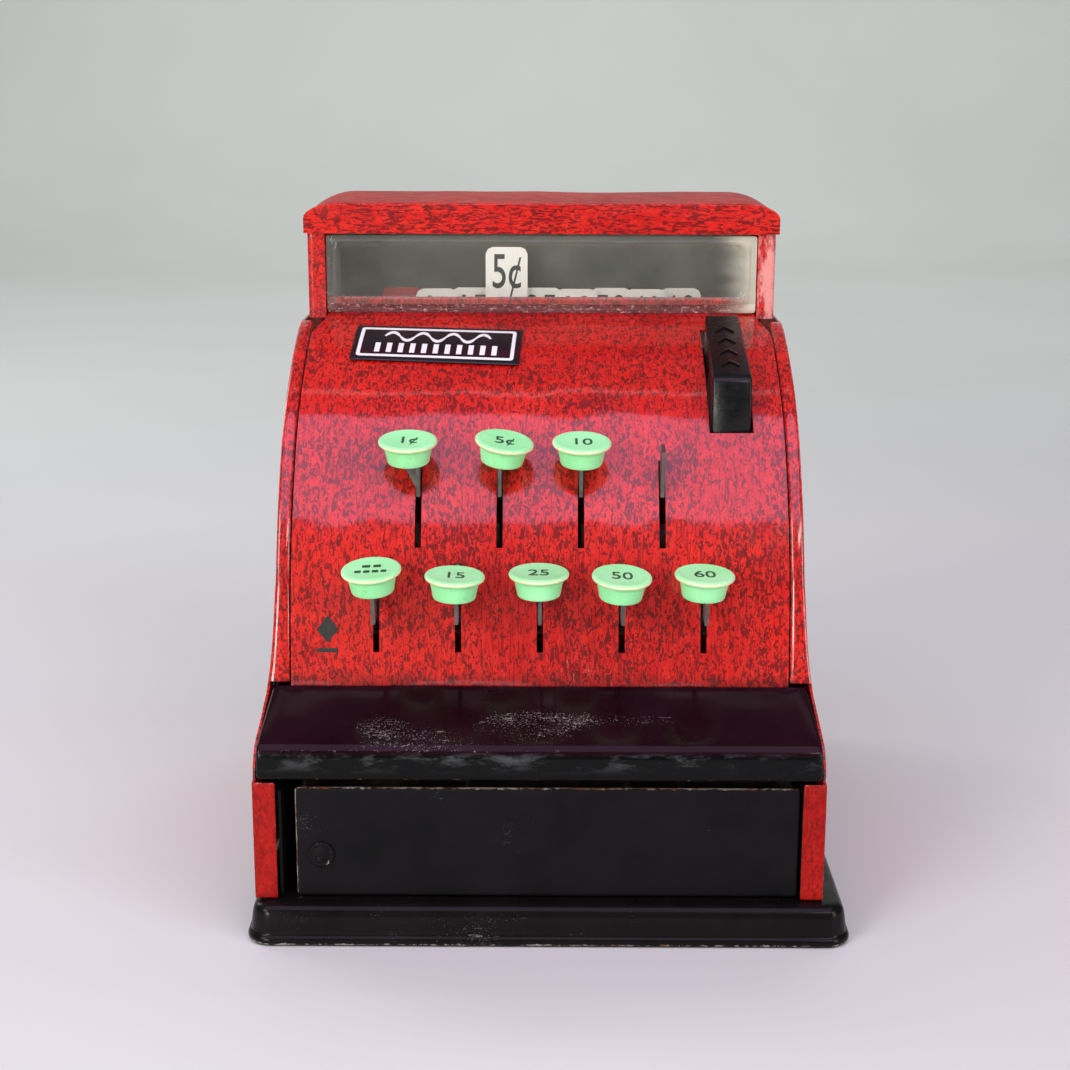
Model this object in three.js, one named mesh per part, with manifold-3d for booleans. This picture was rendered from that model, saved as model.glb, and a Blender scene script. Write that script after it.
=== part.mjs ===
// Toy cash register in pressed tin, millimetres, +Z up, front towards -Y.
// The group's origin is the centre of the footprint, on the surface it stands on.
import * as THREE from 'three';
import { mergeVertices } from 'three/addons/utils/BufferGeometryUtils.js';
import Module from 'manifold-3d';

const wasm = await Module();
wasm.setup();

// ---------------------------------------------------------------- dimensions
const BASE_HALF_W = 81.0;      // half width of the base pan
const BODY_SHIFT = -2.6;       // the body sits a little to the left of the pan's middle
const DEPTH = 176;             // front to back over the base pan
const BASE_H = 8;              // top plate of the base pan, in the body's height
const BASE_Z0 = -3;            // lower rim of the base pan, in the body's height
const SHEET = 0.8;             // tinplate thickness
const LOW_HALF_W = 76;         // side panels at drawer height
const RIM_HALF_W = 71.65;      // side panels at the curved front
const RIM_W = 3.7;             // folded rim beside the curved panel
const PANEL_HALF_W = 67.6;     // curved front panel
const HEAD_Y = 105.7;          // front of the head
const HEAD_HALF_W = 69.9;
const HEAD_Z0 = 151.3;
const BACK_Y = 171;            // back of side panels and head
const WINDOW_HALF_W = 64.3;
const CAP_Z0 = 176.5;          // lower edge of the lid skirt
const CAP_HALF_W = 70.8;
const CAP_CREASE_Z = 185.1;
const CAP_TOP_Z = 186.1;
const KEY_PITCH = 22.2;        // keys in one row; the rows interleave at half of it
const PIVOT = [90, 70];        // key shaft centre, [y, z]
const KEY_TRAVEL = 14.6;       // degrees
const SLOT_W = 1.7;
const BLADE_T = 1.0;
const TAG_Y_FRONT = 142;
const TAG_Y_BACK = 145;
const TAG_W = 13.3;
const TAG_LIFT = 13.2;
const TAG_TOP_Z = 155.9;
const TAG_LABEL_H = 16.2;
const PUSH_X = 53;
const PUSH_PIVOT = [120, 140];
const DRAWER_X0 = -64.6;       // drawer sits a little to the right in its opening
const DRAWER_X1 = 69.0;

const PLATE = [[-54.0, 96.5], [-5.2, 93.3], [-6.35, 75.8], [-55.5, 77.9]]; // nameplate corners, [x, y], fixed on slightly askew

// curved front, outer surface of the sheet, [y, z] from the ledge to the head
const PROFILE = [
  [27.0, 61.9], [28.0, 68], [29.2, 75], [30.6, 81.5], [32.2, 88], [34.2, 94.2], [36.7, 100.2],
  [39.7, 106.2], [43.2, 112], [47.0, 117.5], [51.3, 122.9], [56.0, 127.8], [61.2, 132.2],
  [67.0, 136.2], [73.4, 139.9], [80.2, 143.3], [87.4, 146.4], [94.8, 149.1], [101.0, 151.0], [105.9, 152.3],
];

// ---------------------------------------------------------------- helpers
function man(geometry) {
  const g = geometry.index ? geometry.clone() : geometry.clone();
  for (const name of Object.keys(g.attributes)) if (name !== 'position') g.deleteAttribute(name);
  g.clearGroups();
  const m = mergeVertices(g, 1e-4);
  return new wasm.Manifold(new wasm.Mesh({
    numProp: 3,
    vertProperties: new Float32Array(m.attributes.position.array),
    triVerts: new Uint32Array(m.index.array),
  }));
}
function geo(solid) {
  const m = solid.getMesh();
  const g = new THREE.BufferGeometry();
  const p = new Float32Array(m.numVert * 3);
  for (let i = 0; i < m.numVert; i++) for (let k = 0; k < 3; k++) p[i * 3 + k] = m.vertProperties[i * m.numProp + k];
  g.setAttribute('position', new THREE.BufferAttribute(p, 3));
  g.setIndex(new THREE.BufferAttribute(new Uint32Array(m.triVerts), 1));
  return g;
}
function shapeOf(points) { return new THREE.Shape(points.map(([a, b]) => new THREE.Vector2(a, b))); }
const EX = { bevelEnabled: false, steps: 1 };
// outline [y, z] swept along X
function prismX(points, x0, x1) {
  const g = new THREE.ExtrudeGeometry(shapeOf(points), { ...EX, depth: x1 - x0 });
  g.applyMatrix4(new THREE.Matrix4().set(0, 0, 1, x0, 1, 0, 0, 0, 0, 1, 0, 0, 0, 0, 0, 1));
  return man(g);
}
// outline [x, z] swept along Y
function prismY(points, y0, y1) {
  const g = new THREE.ExtrudeGeometry(shapeOf(points), { ...EX, depth: y1 - y0 });
  g.applyMatrix4(new THREE.Matrix4().set(1, 0, 0, 0, 0, 0, -1, y1, 0, 1, 0, 0, 0, 0, 0, 1));
  return man(g);
}
// outline [x, y] swept along Z
function prismZ(points, z0, z1) {
  const g = new THREE.ExtrudeGeometry(shapeOf(points), { ...EX, depth: z1 - z0 });
  g.translate(0, 0, z0);
  return man(g);
}
function box(x0, x1, y0, y1, z0, z1) {
  return man(new THREE.BoxGeometry(x1 - x0, y1 - y0, z1 - z0).translate((x0 + x1) / 2, (y0 + y1) / 2, (z0 + z1) / 2));
}
function rodX(x0, x1, y, z, r, n = 16) {
  return man(new THREE.CylinderGeometry(r, r, x1 - x0, n).rotateZ(Math.PI / 2).translate((x0 + x1) / 2, y, z));
}
function rodY(x, y0, y1, z, r, n = 16) {
  return man(new THREE.CylinderGeometry(r, r, y1 - y0, n).translate(x, (y0 + y1) / 2, z));
}
// rounded rectangle outline
function roundRect(x0, x1, y0, y1, r, n = 6) {
  const pts = [];
  const corner = (cx, cy, a0) => { for (let i = 0; i <= n; i++) { const a = a0 + (Math.PI / 2) * i / n; pts.push([cx + r * Math.cos(a), cy + r * Math.sin(a)]); } };
  corner(x1 - r, y0 + r, -Math.PI / 2); corner(x1 - r, y1 - r, 0); corner(x0 + r, y1 - r, Math.PI / 2); corner(x0 + r, y0 + r, Math.PI);
  return pts;
}
// a polyline shifted sideways by d (to the left of its direction)
function shift(line, d) {
  return line.map((p, i) => {
    const a = line[Math.max(0, i - 1)], b = line[Math.min(line.length - 1, i + 1)];
    const l = Math.hypot(b[0] - a[0], b[1] - a[1]);
    return [p[0] - d * (b[1] - a[1]) / l, p[1] + d * (b[0] - a[0]) / l];
  });
}
// thin sheet bent along a polyline: from the line itself to d away from it
function sheet(line, d0, d1) { return [...shift(line, d0), ...shift(line, d1).reverse()]; }
const polar = (r, deg) => [PIVOT[0] - r * Math.cos(deg * Math.PI / 180), PIVOT[1] + r * Math.sin(deg * Math.PI / 180)];
function orient(points) { // counter-clockwise order
  let s = 0;
  points.forEach((p, i) => { const q = points[(i + 1) % points.length]; s += p[0] * q[1] - q[0] * p[1]; });
  return s > 0 ? points : points.slice().reverse();
}
function bar(p, q, w0, w1) { // tapered bar outline between two points
  const l = Math.hypot(q[0] - p[0], q[1] - p[1]), nx = -(q[1] - p[1]) / l, ny = (q[0] - p[0]) / l;
  return orient([[p[0] + nx * w0 / 2, p[1] + ny * w0 / 2], [q[0] + nx * w1 / 2, q[1] + ny * w1 / 2], [q[0] - nx * w1 / 2, q[1] - ny * w1 / 2], [p[0] - nx * w0 / 2, p[1] - ny * w0 / 2]]);
}
function circle(cx, cy, r, n = 20) { const o = []; for (let i = 0; i < n; i++) o.push([cx + r * Math.cos(2 * Math.PI * i / n), cy + r * Math.sin(2 * Math.PI * i / n)]); return o; }

const FINISH = {
  red: { color: 0xc8241c, roughness: 0.35, metalness: 0.3 },
  black: { color: 0x0c0c0d, roughness: 0.25, metalness: 0.3 },
  satin: { color: 0x1a1a1c, roughness: 0.5, metalness: 0.2 },
  mint: { color: 0xa6f5b0, roughness: 0.35, metalness: 0.0 },
  steel: { color: 0x8c8c88, roughness: 0.4, metalness: 1.0 },
  clear: { color: 0xd8dcd8, roughness: 0.1, metalness: 0.0 },
  white: { color: 0xe2e0d6, roughness: 0.55, metalness: 0.0 },
  darkred: { color: 0x7a1216, roughness: 0.5, metalness: 0.0 },
  grey: { color: 0x565855, roughness: 0.6, metalness: 0.2 },
  plastic: { color: 0x101012, roughness: 0.3, metalness: 0.0 },
  tin: { color: 0xb4b2aa, roughness: 0.4, metalness: 0.9 },
  brass: { color: 0xb08d57, roughness: 0.35, metalness: 1.0 },
};
const group = new THREE.Group();
const body = new THREE.Group();
body.position.set(BODY_SHIFT, -DEPTH / 2, -BASE_Z0);
group.add(body);
function add(name, solid, finish) {
  const mesh = new THREE.Mesh(geo(solid), new THREE.MeshStandardMaterial(FINISH[finish]));
  mesh.name = name;
  body.add(mesh);
  return mesh;
}

// ---------------------------------------------------------------- base pan
{
  const plan = (inset, r) => roundRect(-BASE_HALF_W - BODY_SHIFT + inset, BASE_HALF_W - BODY_SHIFT - inset, inset, DEPTH - inset, r);
  let s = prismZ(plan(0.9, 6.1), BASE_Z0, 4.0);
  s = s.add(prismZ(plan(0.4, 6.6), BASE_Z0 + 0.3, BASE_Z0 + 0.7)).add(prismZ(plan(0, 7), BASE_Z0 + 0.6, BASE_Z0 + 1.8)).add(prismZ(plan(0.4, 6.6), BASE_Z0 + 1.7, BASE_Z0 + 2.4));
  s = s.add(prismZ(plan(1.15, 5.9), 3.9, 5.6)).add(prismZ(plan(1.7, 5.3), 5.5, 6.8)).add(prismZ(plan(2.7, 4.3), 6.7, 7.6)).add(prismZ(plan(4.0, 3.0), 7.5, BASE_H));
  s = s.subtract(prismZ(plan(4.2, 2.8), BASE_Z0 - 1, BASE_H - 1.2));
  add('base_pan', s, 'black');
}

// ---------------------------------------------------------------- side panels with folded rims and front strips
const RIM_LINE = PROFILE.slice(0, 19);
{
  const rimOuter = shift(RIM_LINE, 0.6);
  const outline = orient([
    [6.2, 8.3], [6.2, 41.0], [8.4, 41.0], [8.4, 50.3], [26.2, 59.6], [rimOuter[0][0], 62.6],
    ...rimOuter.slice(1), [103.2, 150.8], [BACK_Y, 150.8], [BACK_Y, 8.3],
  ]);
  // half width of the sheet against height: it flares out towards the base
  const flare = [[8.3, LOW_HALF_W], [41, LOW_HALF_W], [48, 75.6], [54, 75.0], [60, 74.2], [67, 73.2], [76, 72.4], [86, 71.9], [96, RIM_HALF_W], [153, RIM_HALF_W]];
  const rim = orient([...shift(RIM_LINE, 0.6).map((p, i) => i === 0 ? [p[0], 62.6] : p), ...shift(RIM_LINE, -0.25).reverse().map((p, i, a) => i === a.length - 1 ? [p[0], 62.6] : p)]);
  for (const side of [-1, 1]) {
    const skin = orient([...flare.map(([z, x]) => [side * x, z]), ...flare.map(([z, x]) => [side * (x - SHEET), z]).reverse()]);
    const a = side * (RIM_HALF_W - RIM_W), b = side * (RIM_HALF_W + 0.4);
    let s = prismY(skin, 0, DEPTH).intersect(prismX(outline, -90, 90));
    let r = prismX(rim, Math.min(a, b), Math.max(a, b));
    // the rim's outer edge follows the sheet
    r = r.intersect(prismY(orient([...flare.map(([z, x]) => [side * (x - 0.05), z]), [side * 60, 153], [side * 60, 8.3]]), 0, DEPTH));
    s = s.add(r);
    const c = side * 70.0, d = side * (LOW_HALF_W - 0.1);
    s = s.add(box(Math.min(c, d), Math.max(c, d), 6.2, 7.0, 8.3, 41.0));
    add(side < 0 ? 'left_side_panel' : 'right_side_panel', s, 'red');
  }
}

// ---------------------------------------------------------------- keys: where each one is
const P = KEY_PITCH;
const KEYS = [ // name, row, x, cap tilt sideways, cap or not
  { name: 'no_sale', upper: false, x: -2 * P, tilt: -3, lean: 9, dx: 0, dz: 0.8, cap: true },
  { name: '1c', upper: true, x: -1.5 * P, tilt: 0, lean: 9.5, dx: -2.6, dz: 0, cap: true },
  { name: '15', upper: false, x: -P, tilt: 2, lean: 3.5, dx: -0.6, dz: -0.8, cap: true },
  { name: '5c', upper: true, x: -0.5 * P, tilt: 8, lean: 10.5, dx: 0.5, dz: 0, cap: true },
  { name: '25', upper: false, x: 0, tilt: 0, lean: 3.5, dx: -0.3, dz: 0, cap: true },
  { name: '10', upper: true, x: 0.5 * P, tilt: 1, lean: 9.5, dx: 0, dz: -0.3, cap: true },
  { name: '50', upper: false, x: P, tilt: 3, lean: 7.6, dx: -0.8, dz: -0.8, cap: true },
  { name: '40', upper: true, x: 1.5 * P, tilt: 0, cap: false },
  { name: '60', upper: false, x: 2 * P, tilt: 2, lean: 5, dx: -1.0, dz: -0.3, cap: true },
];
const UPPER = { slot: [27.2, 50.05], rest: 45.95, top: [40.2, 127.0], lean: 12.7, foot: [43.6, 111.5] };
const LOWER = { slot: [0.4, 23.2], rest: 19.1, top: [21.0, 95.2], lean: 9.5, foot: [23.6, 81.0] };

// ---------------------------------------------------------------- curved front panel
{
  const upturn = [[108.2, 152.9], [109.0, 154.2], [109.0, 157.2]];
  const line = [[26.6, 58.4], ...PROFILE, ...upturn];
  let s = prismX(orient(sheet(line, 0, -SHEET)), -PANEL_HALF_W, PANEL_HALF_W);
  s = s.intersect(prismZ([[-PANEL_HALF_W, 20], [PANEL_HALF_W, 20], [PANEL_HALF_W, 93], [64.2, 103.5], [64.2, 120], [-64.2, 120], [-64.2, 103.5], [-PANEL_HALF_W, 93]], 50, 165));
  for (const k of KEYS) {
    const row = k.upper ? UPPER : LOWER;
    const wedge = orient([polar(50, row.slot[0]), polar(76, row.slot[0]), polar(76, row.slot[1]), polar(50, row.slot[1])]);
    s = s.subtract(prismX(wedge, k.x - SLOT_W / 2, k.x + SLOT_W / 2));
  }
  // opening for the push button
  s = s.subtract(box(PUSH_X - 6.1, PUSH_X + 6.1, 54.4, 95.6, 110, 165));
  add('front_panel', s, 'red');
}

// ---------------------------------------------------------------- black ledge over the drawer
{
  const line = [[8.8, 42.0], [6.5, 42.0], [5.8, 42.6], [5.6, 43.6], [5.6, 47.6], [5.9, 49.4], [6.8, 50.8], [8.4, 51.9], [26.15, 61.4]];
  let s = prismX(orient(sheet(line, 0, -SHEET)), -74.6, 74.6);
  s = s.intersect(prismZ(orient([[-74.6, 0], [74.6, 0], [74.6, 9.5], [71.9, 40], [-71.9, 40], [-74.6, 9.5]]), 30, 70));
  for (const side of [-1, 1]) {
    const end = orient([[6.2, 42.3], [8.0, 42.3], [8.0, 50.9], [6.2, 49.2]]);
    s = s.add(prismX(end, Math.min(side * 73.8, side * 74.6), Math.max(side * 73.8, side * 74.6)));
  }
  add('ledge_cover', s, 'black');
}

// ---------------------------------------------------------------- back panel
add('back_panel', prismY(orient([[-75.0, 8.3], [75.0, 8.3], [75.0, 41], [71.4, 90], [70.7, 150.6], [-70.7, 150.6], [-71.4, 90], [-75.0, 41]]), BACK_Y + 0.3, BACK_Y + 1.1), 'red');

// ---------------------------------------------------------------- head
{
  let s = prismZ(roundRect(-HEAD_HALF_W, HEAD_HALF_W, HEAD_Y, BACK_Y, 1.6, 4), HEAD_Z0, 179);
  s = s.subtract(prismZ(roundRect(-HEAD_HALF_W + SHEET, HEAD_HALF_W - SHEET, HEAD_Y + SHEET, BACK_Y - SHEET, 0.8, 2), 140, 190));
  s = s.subtract(box(-64.6, 64.6, 100, 112, 150, 176.3));
  add('head_case', s, 'red');
}
{
  const arch = (w, top, rx, rz, z0) => {
    const pts = [[-w, z0]];
    for (let i = 0; i <= 8; i++) { const a = Math.PI - (Math.PI / 2) * i / 8; pts.push([-w + rx + rx * Math.cos(a), top - rz + rz * Math.sin(a)]); }
    for (let i = 0; i <= 8; i++) { const a = Math.PI / 2 - (Math.PI / 2) * i / 8; pts.push([w - rx + rx * Math.cos(a), top - rz + rz * Math.sin(a)]); }
    pts.push([w, z0]);
    return orient(pts);
  };
  const crown = (y0, y1, dz, z0) => {
    const c = [[0, -0.2], [0.012, 0.1], [0.05, 0.4], [0.14, 0.7], [0.3, 1.0], [0.5, 1.0], [0.7, 0.7], [0.86, 0.0], [0.95, -0.7], [0.988, -1.2], [1, -1.7]];
    return orient([[y0, z0], ...c.map(([t, h]) => [y0 + (y1 - y0) * t, CAP_CREASE_Z + h + dz]), [y1, z0]]);
  };
  const outer = prismY(arch(CAP_HALF_W, CAP_TOP_Z, 11, 6.2, CAP_Z0), 104.7, 172.0).intersect(prismX(crown(104.7, 172.0, 0, CAP_Z0), -90, 90));
  const inner = prismY(arch(CAP_HALF_W - 0.6, CAP_TOP_Z - 0.7, 10.5, 5.8, 170), 105.3, 171.4).intersect(prismX(crown(105.3, 171.4, -0.7, 170), -90, 90));
  add('head_cap', outer.subtract(inner), 'red');
}
{ // formed clear window: border flange, raised bead all round, flat pane set back
  const zb = 152.9, zt = 175.9, w = WINDOW_HALF_W;
  let s = prismY(roundRect(-w, w, zb, zt, 1.0, 3), 105.9, 106.7);
  s = s.add(prismY(roundRect(-61.6, 61.6, zb + 3.2, zt - 1.6, 2.4, 4), 104.9, 106.7));
  s = s.subtract(prismY(roundRect(-60.2, 60.2, zb + 4.6, zt - 3.0, 1.8, 4), 104.0, 105.9));
  s = s.subtract(prismY(roundRect(-60.9, 60.9, zb + 3.9, zt - 2.3, 2.0, 4), 106.4, 107.5));
  add('window', s, 'clear');
}
add('tag_backdrop', box(-67.6, 67.6, 152.0, 152.6, 130, 182), 'grey');

// ---------------------------------------------------------------- nameplate, two small bends follow the panel
{
  const line = shift([[74.4, 140.4], [80.2, 143.3], [87.4, 146.4], [94.8, 149.1], [98.0, 150.1]], 0.35);
  let s = prismX(orient(sheet(line, 0.0, 0.5)), -60, 0);
  s = s.intersect(prismZ(orient(PLATE), 135, 160));
  add('nameplate', s, 'satin');
}

// ---------------------------------------------------------------- key shaft, comb, levers, caps
add('key_shaft', rodX(-70.6, 70.6, PIVOT[0], PIVOT[1], 1.8, 18), 'steel');
{
  let s = box(-70.6, 70.6, 112, 113, 52, 86);
  s = s.add(box(-70.6, 70.6, 106, 112.2, 52, 53));
  for (const k of KEYS) s = s.subtract(box(k.x - 0.9, k.x + 0.9, 110, 115, 58, 84));
  add('lever_comb', s, 'tin');
}
for (const k of KEYS) {
  const row = k.upper ? UPPER : LOWER;
  const tagY = k.upper ? TAG_Y_FRONT : TAG_Y_BACK;
  const x0 = k.x - BLADE_T / 2, x1 = k.x + BLADE_T / 2;
  const u = [-Math.sin(row.lean * Math.PI / 180), Math.cos(row.lean * Math.PI / 180)];
  const bottom = [row.top[0] - 6.5 * u[0], row.top[1] - 6.5 * u[1]];
  const tip = [bottom[0] + 4.0 * u[0], bottom[1] + 4.0 * u[1]];
  // seesaw plate: front arm out through the slot, rear arm under the tag
  let s = prismX(orient(bar(PIVOT, polar(k.upper ? 68 : 63, row.rest), 11, 8.1)), x0, x1);
  if (!k.upper) s = s.add(prismX(orient(bar(polar(61.5, row.rest), [22.9, 87.0], 7.2, 5.4)), x0, x1));
  s = s.add(prismX(orient(bar(row.foot, tip, 5.6, 5.6)), x0, x1));
  const rl = tagY - PIVOT[0] + 2.6, ra = -7.3 * Math.PI / 180;
  const end = [PIVOT[0] + rl * Math.cos(ra), PIVOT[1] + rl * Math.sin(ra)];
  s = s.add(prismX(orient(bar(PIVOT, end, 11, 6)), x0, x1));
  s = s.add(prismX(circle(PIVOT[0], PIVOT[1], 6.5, 24), x0, x1));
  s = s.subtract(prismX(circle(PIVOT[0], PIVOT[1], 2.12, 18), x0 - 1, x1 + 1));
  // this lever's head is bent over to the left, with its cap
  if (k.name === '1c') s = s.add(prismY(orient([[k.x - 4.0, 120.0], [k.x + 0.9, 120.0], [k.x + 0.5, 113.2], [k.x - 0.7, 113.6]]), 40.9, 41.8));
  add('key_lever_' + k.name, s, 'steel');
  if (k.cap) {
    const g = new THREE.LatheGeometry([[0, 0], [5.2, 0], [5.9, 0.5], [6.7, 4.6], [7.3, 5.0], [7.95, 5.3], [8.0, 5.8], [7.7, 6.4], [7.0, 6.6], [5.6, 6.4], [0, 6.2]].map(([r, z]) => new THREE.Vector2(r, z)), 24);
    g.rotateX(Math.PI / 2); // lathe axis to +Z
    g.rotateY(k.tilt * Math.PI / 180);
    g.rotateX(k.lean * Math.PI / 180);
    g.translate(k.x + k.dx, row.top[0] + 6.5 * Math.sin(k.lean * Math.PI / 180), row.top[1] + k.dz - 6.5 * Math.cos(k.lean * Math.PI / 180));
    let c = man(g);
    const low = [bottom[0] - 3 * u[0], bottom[1] - 3 * u[1]], high = [tip[0] + 0.4 * u[0], tip[1] + 0.4 * u[1]];
    c = c.subtract(prismX(orient(bar(low, high, 6.4, 6.4)), k.x - 0.85, k.x + 0.85));
    if (k.upper) c = c.subtract(prismX(orient(bar(PIVOT, polar(68.5, row.rest), 12, 9.0)), k.x - 0.85, k.x + 0.85));
    else c = c.subtract(prismX(orient(bar(polar(61.5, row.rest), [22.3, 86.7], 8.0, 6.4)), k.x - 0.85, k.x + 0.85));
    add('key_cap_' + k.name, c, 'mint');
  }
}

// ---------------------------------------------------------------- price tags on long stems, and their guide
for (const k of KEYS) {
  const y = k.upper ? TAG_Y_FRONT : TAG_Y_BACK;
  const up = k.name === '5c' ? TAG_LIFT : 0;
  const reach = y - PIVOT[0];
  const stemZ = PIVOT[1] - reach * Math.tan(7.3 * Math.PI / 180) + 3.02 + 0.35;
  const zt = TAG_TOP_Z + up, zl = zt - TAG_LABEL_H, w = TAG_W / 2, r = 2.2;
  const pts = [[k.x - 2.2, stemZ + up], [k.x + 2.2, stemZ + up], [k.x + 2.2, zl], [k.x + w, zl], [k.x + w, zt - r], [k.x + w - 0.7, zt - 0.7], [k.x + w - r, zt], [k.x - w + r, zt], [k.x - w + 0.7, zt - 0.7], [k.x - w, zt - r], [k.x - w, zl], [k.x - 2.2, zl]];
  add('tag_' + k.name, prismY(orient(pts), y - 0.25, y + 0.25), k.name === 'no_sale' ? 'darkred' : 'white');
}
{
  let s = box(-70.2, 70.2, 135.5, 150.5, 136.2, 137.2).add(box(-70.2, 70.2, 149.7, 150.5, 136.2, 146));
  for (const k of KEYS) {
    const y = k.upper ? TAG_Y_FRONT : TAG_Y_BACK;
    s = s.subtract(box(k.x - 2.6, k.x + 2.6, y - 0.65, y + 0.65, 130, 139));
  }
  add('tag_guide', s, 'tin');
}
// bar that catches a raised tag's stem
{
  let s = box(-62, 62, 147.2, 148.0, 112, 126).add(rodX(-68, 68, 149.6, 112, 1.6, 12)).add(box(-62, 62, 147.2, 150, 111.4, 112.6));
  add('tag_catch_bar', s, 'tin');
}

// ---------------------------------------------------------------- push button, its arm and pin
{
  const outline = orient([[55.6, 121.5], [55.6, 140.4], [56.6, 141.6], [58.4, 142.3], [91.6, 154.0], [93.4, 153.9], [94.2, 152.6], [94.4, 141.5], [72, 132.0]]);
  let s = prismX(outline, PUSH_X - 5.5, PUSH_X + 5.5);
  s = s.intersect(prismZ(orient([[PUSH_X - 5.5, 50], [PUSH_X + 5.5, 50], [PUSH_X + 5.5, 57], [PUSH_X + 4.7, 97], [PUSH_X - 4.7, 97], [PUSH_X - 5.5, 57]]), 100, 170));
  // socket for the steel arm
  s = s.subtract(box(PUSH_X - 0.9, PUSH_X + 0.9, 76, 97, 130, 145.2));
  add('push_button', s, 'plastic');
  let a = prismX(orient([[78, 138.5], [78, 144.7], [100, 144.7], [118, 145], [124, 143.5], [124, 136.5], [118, 135], [100, 136.5]]), PUSH_X - 0.5, PUSH_X + 0.5);
  a = a.subtract(prismX(circle(PUSH_PIVOT[0], PUSH_PIVOT[1], 1.82, 14), PUSH_X - 2, PUSH_X + 2));
  add('push_arm', a, 'steel');
  add('push_pin', rodX(PUSH_X - 3, 68.6, PUSH_PIVOT[0], PUSH_PIVOT[1], 1.5, 14), 'steel');
}

// ---------------------------------------------------------------- drawer
{
  const x0 = DRAWER_X0, x1 = DRAWER_X1;
  let s = box(x0, x1, 9.0, 112, 8.4, 35.0);
  s = s.subtract(box(x0 + 0.9, x1 - 0.9, 9.9, 111.1, 9.3, 40));
  add('drawer_tray', s, 'tin');
  let f = prismY(roundRect(x0 - 0.2, x1 + 0.2, 8.7, 39.3, 0.8, 3), 7.3, 8.7);
  add('drawer_front', f, 'satin');
  const rg = new THREE.LatheGeometry([[0, 0], [3.5, 0], [3.45, 0.25], [3.0, 0.6], [1.8, 0.85], [0, 0.95]].map(([r, z]) => new THREE.Vector2(r, z)), 24);
  rg.rotateX(Math.PI).translate(-58.1, 7.0, 20.6);
  add('drawer_rivet', man(rg), 'satin');
  // long divider across, two short ones in front of it and one behind
  add('drawer_divider_cross', box(x0 + 1.2, x1 - 1.2, 46.2, 47.0, 9.6, 31), 'tin');
  const q = (x1 - x0) / 3;
  add('drawer_divider_left', box(x0 + q - 0.4, x0 + q + 0.4, 10.2, 45.9, 9.6, 31), 'tin');
  add('drawer_divider_right', box(x0 + 2 * q - 0.4, x0 + 2 * q + 0.4, 10.2, 45.9, 9.6, 31), 'tin');
  add('drawer_rail_left', box(-69.6, -68.8, 9.0, 165, 8.3, 38).add(box(-74.8, -69.0, 9.0, 165, 37.2, 38)), 'black');
  add('drawer_rail_right', box(70.1, 70.9, 9.0, 165, 8.3, 38).add(box(70.5, 74.8, 9.0, 165, 37.2, 38)), 'black');
}
{ // latch over the drawer's back wall
  let s = prismX(orient([[106.5, 35.6], [110.6, 35.6], [110.6, 39.5], [138, 44], [145.4, 44], [145.4, 52], [138, 52], [106.5, 44]]), 59.5, 60.5);
  s = s.subtract(prismX(circle(141.5, 48, 1.82, 14), 58, 62));
  add('drawer_latch', s, 'steel');
  add('latch_pin', rodX(56.5, 74.0, 141.5, 48, 1.5, 14), 'steel');
}
{ // leaf spring that kicks the drawer out
  const line = [[170.3, 30], [170.0, 22], [150, 20], [130, 18.5], [113.4, 18.2], [112.6, 19.4], [113.2, 20.8]];
  add('drawer_kick_spring', prismX(orient(sheet(line, 0, 0.5)), -6, 6), 'steel');
}

// ---------------------------------------------------------------- bell
{
  // opening towards the back panel
  const lathe = new THREE.LatheGeometry([[2.3, 0], [9.2, 0.1], [15.6, 1.8], [18.4, 5.0], [19.2, 9.2], [18.4, 9.2], [17.6, 5.4], [15.0, 2.6], [9, 1.0], [2.3, 0.9], [2.3, 0]].map(([r, z]) => new THREE.Vector2(r, z)), 32);
  lathe.translate(-35, 155.6, 100);
  add('bell_gong', man(lathe), 'brass');
  let p = rodY(-35, 154.8, 171.0, 100, 1.9, 14).add(rodY(-35, 154.2, 155.3, 100, 3.4, 14)).add(rodY(-35, 156.8, 158.2, 100, 3.2, 14));
  add('bell_post', p, 'steel');
  // hammer swings in the X-Z plane beside the rim
  const hx = -7.6, hz = 100, px = -4.0, pz = 72;
  let h = prismY(orient(bar([px, pz], [hx, hz], 3.2, 2.2)), 159.8, 161.2);
  h = h.add(prismY(circle(px, pz, 3.6, 18), 159.8, 161.2));
  h = h.add(man(new THREE.SphereGeometry(3.0, 16, 10).translate(hx, 160.5, hz)));
  h = h.subtract(rodY(px, 150, 168, pz, 1.82, 14));
  add('bell_hammer', h, 'brass');
  add('hammer_pin', rodY(px, 158.0, 171.0, pz, 1.5, 14).add(rodY(px, 157.4, 158.6, pz, 2.6, 14)), 'steel');
}

export default group;
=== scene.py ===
import math
import bpy
import bmesh
from mathutils import Matrix, Vector, noise


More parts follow.
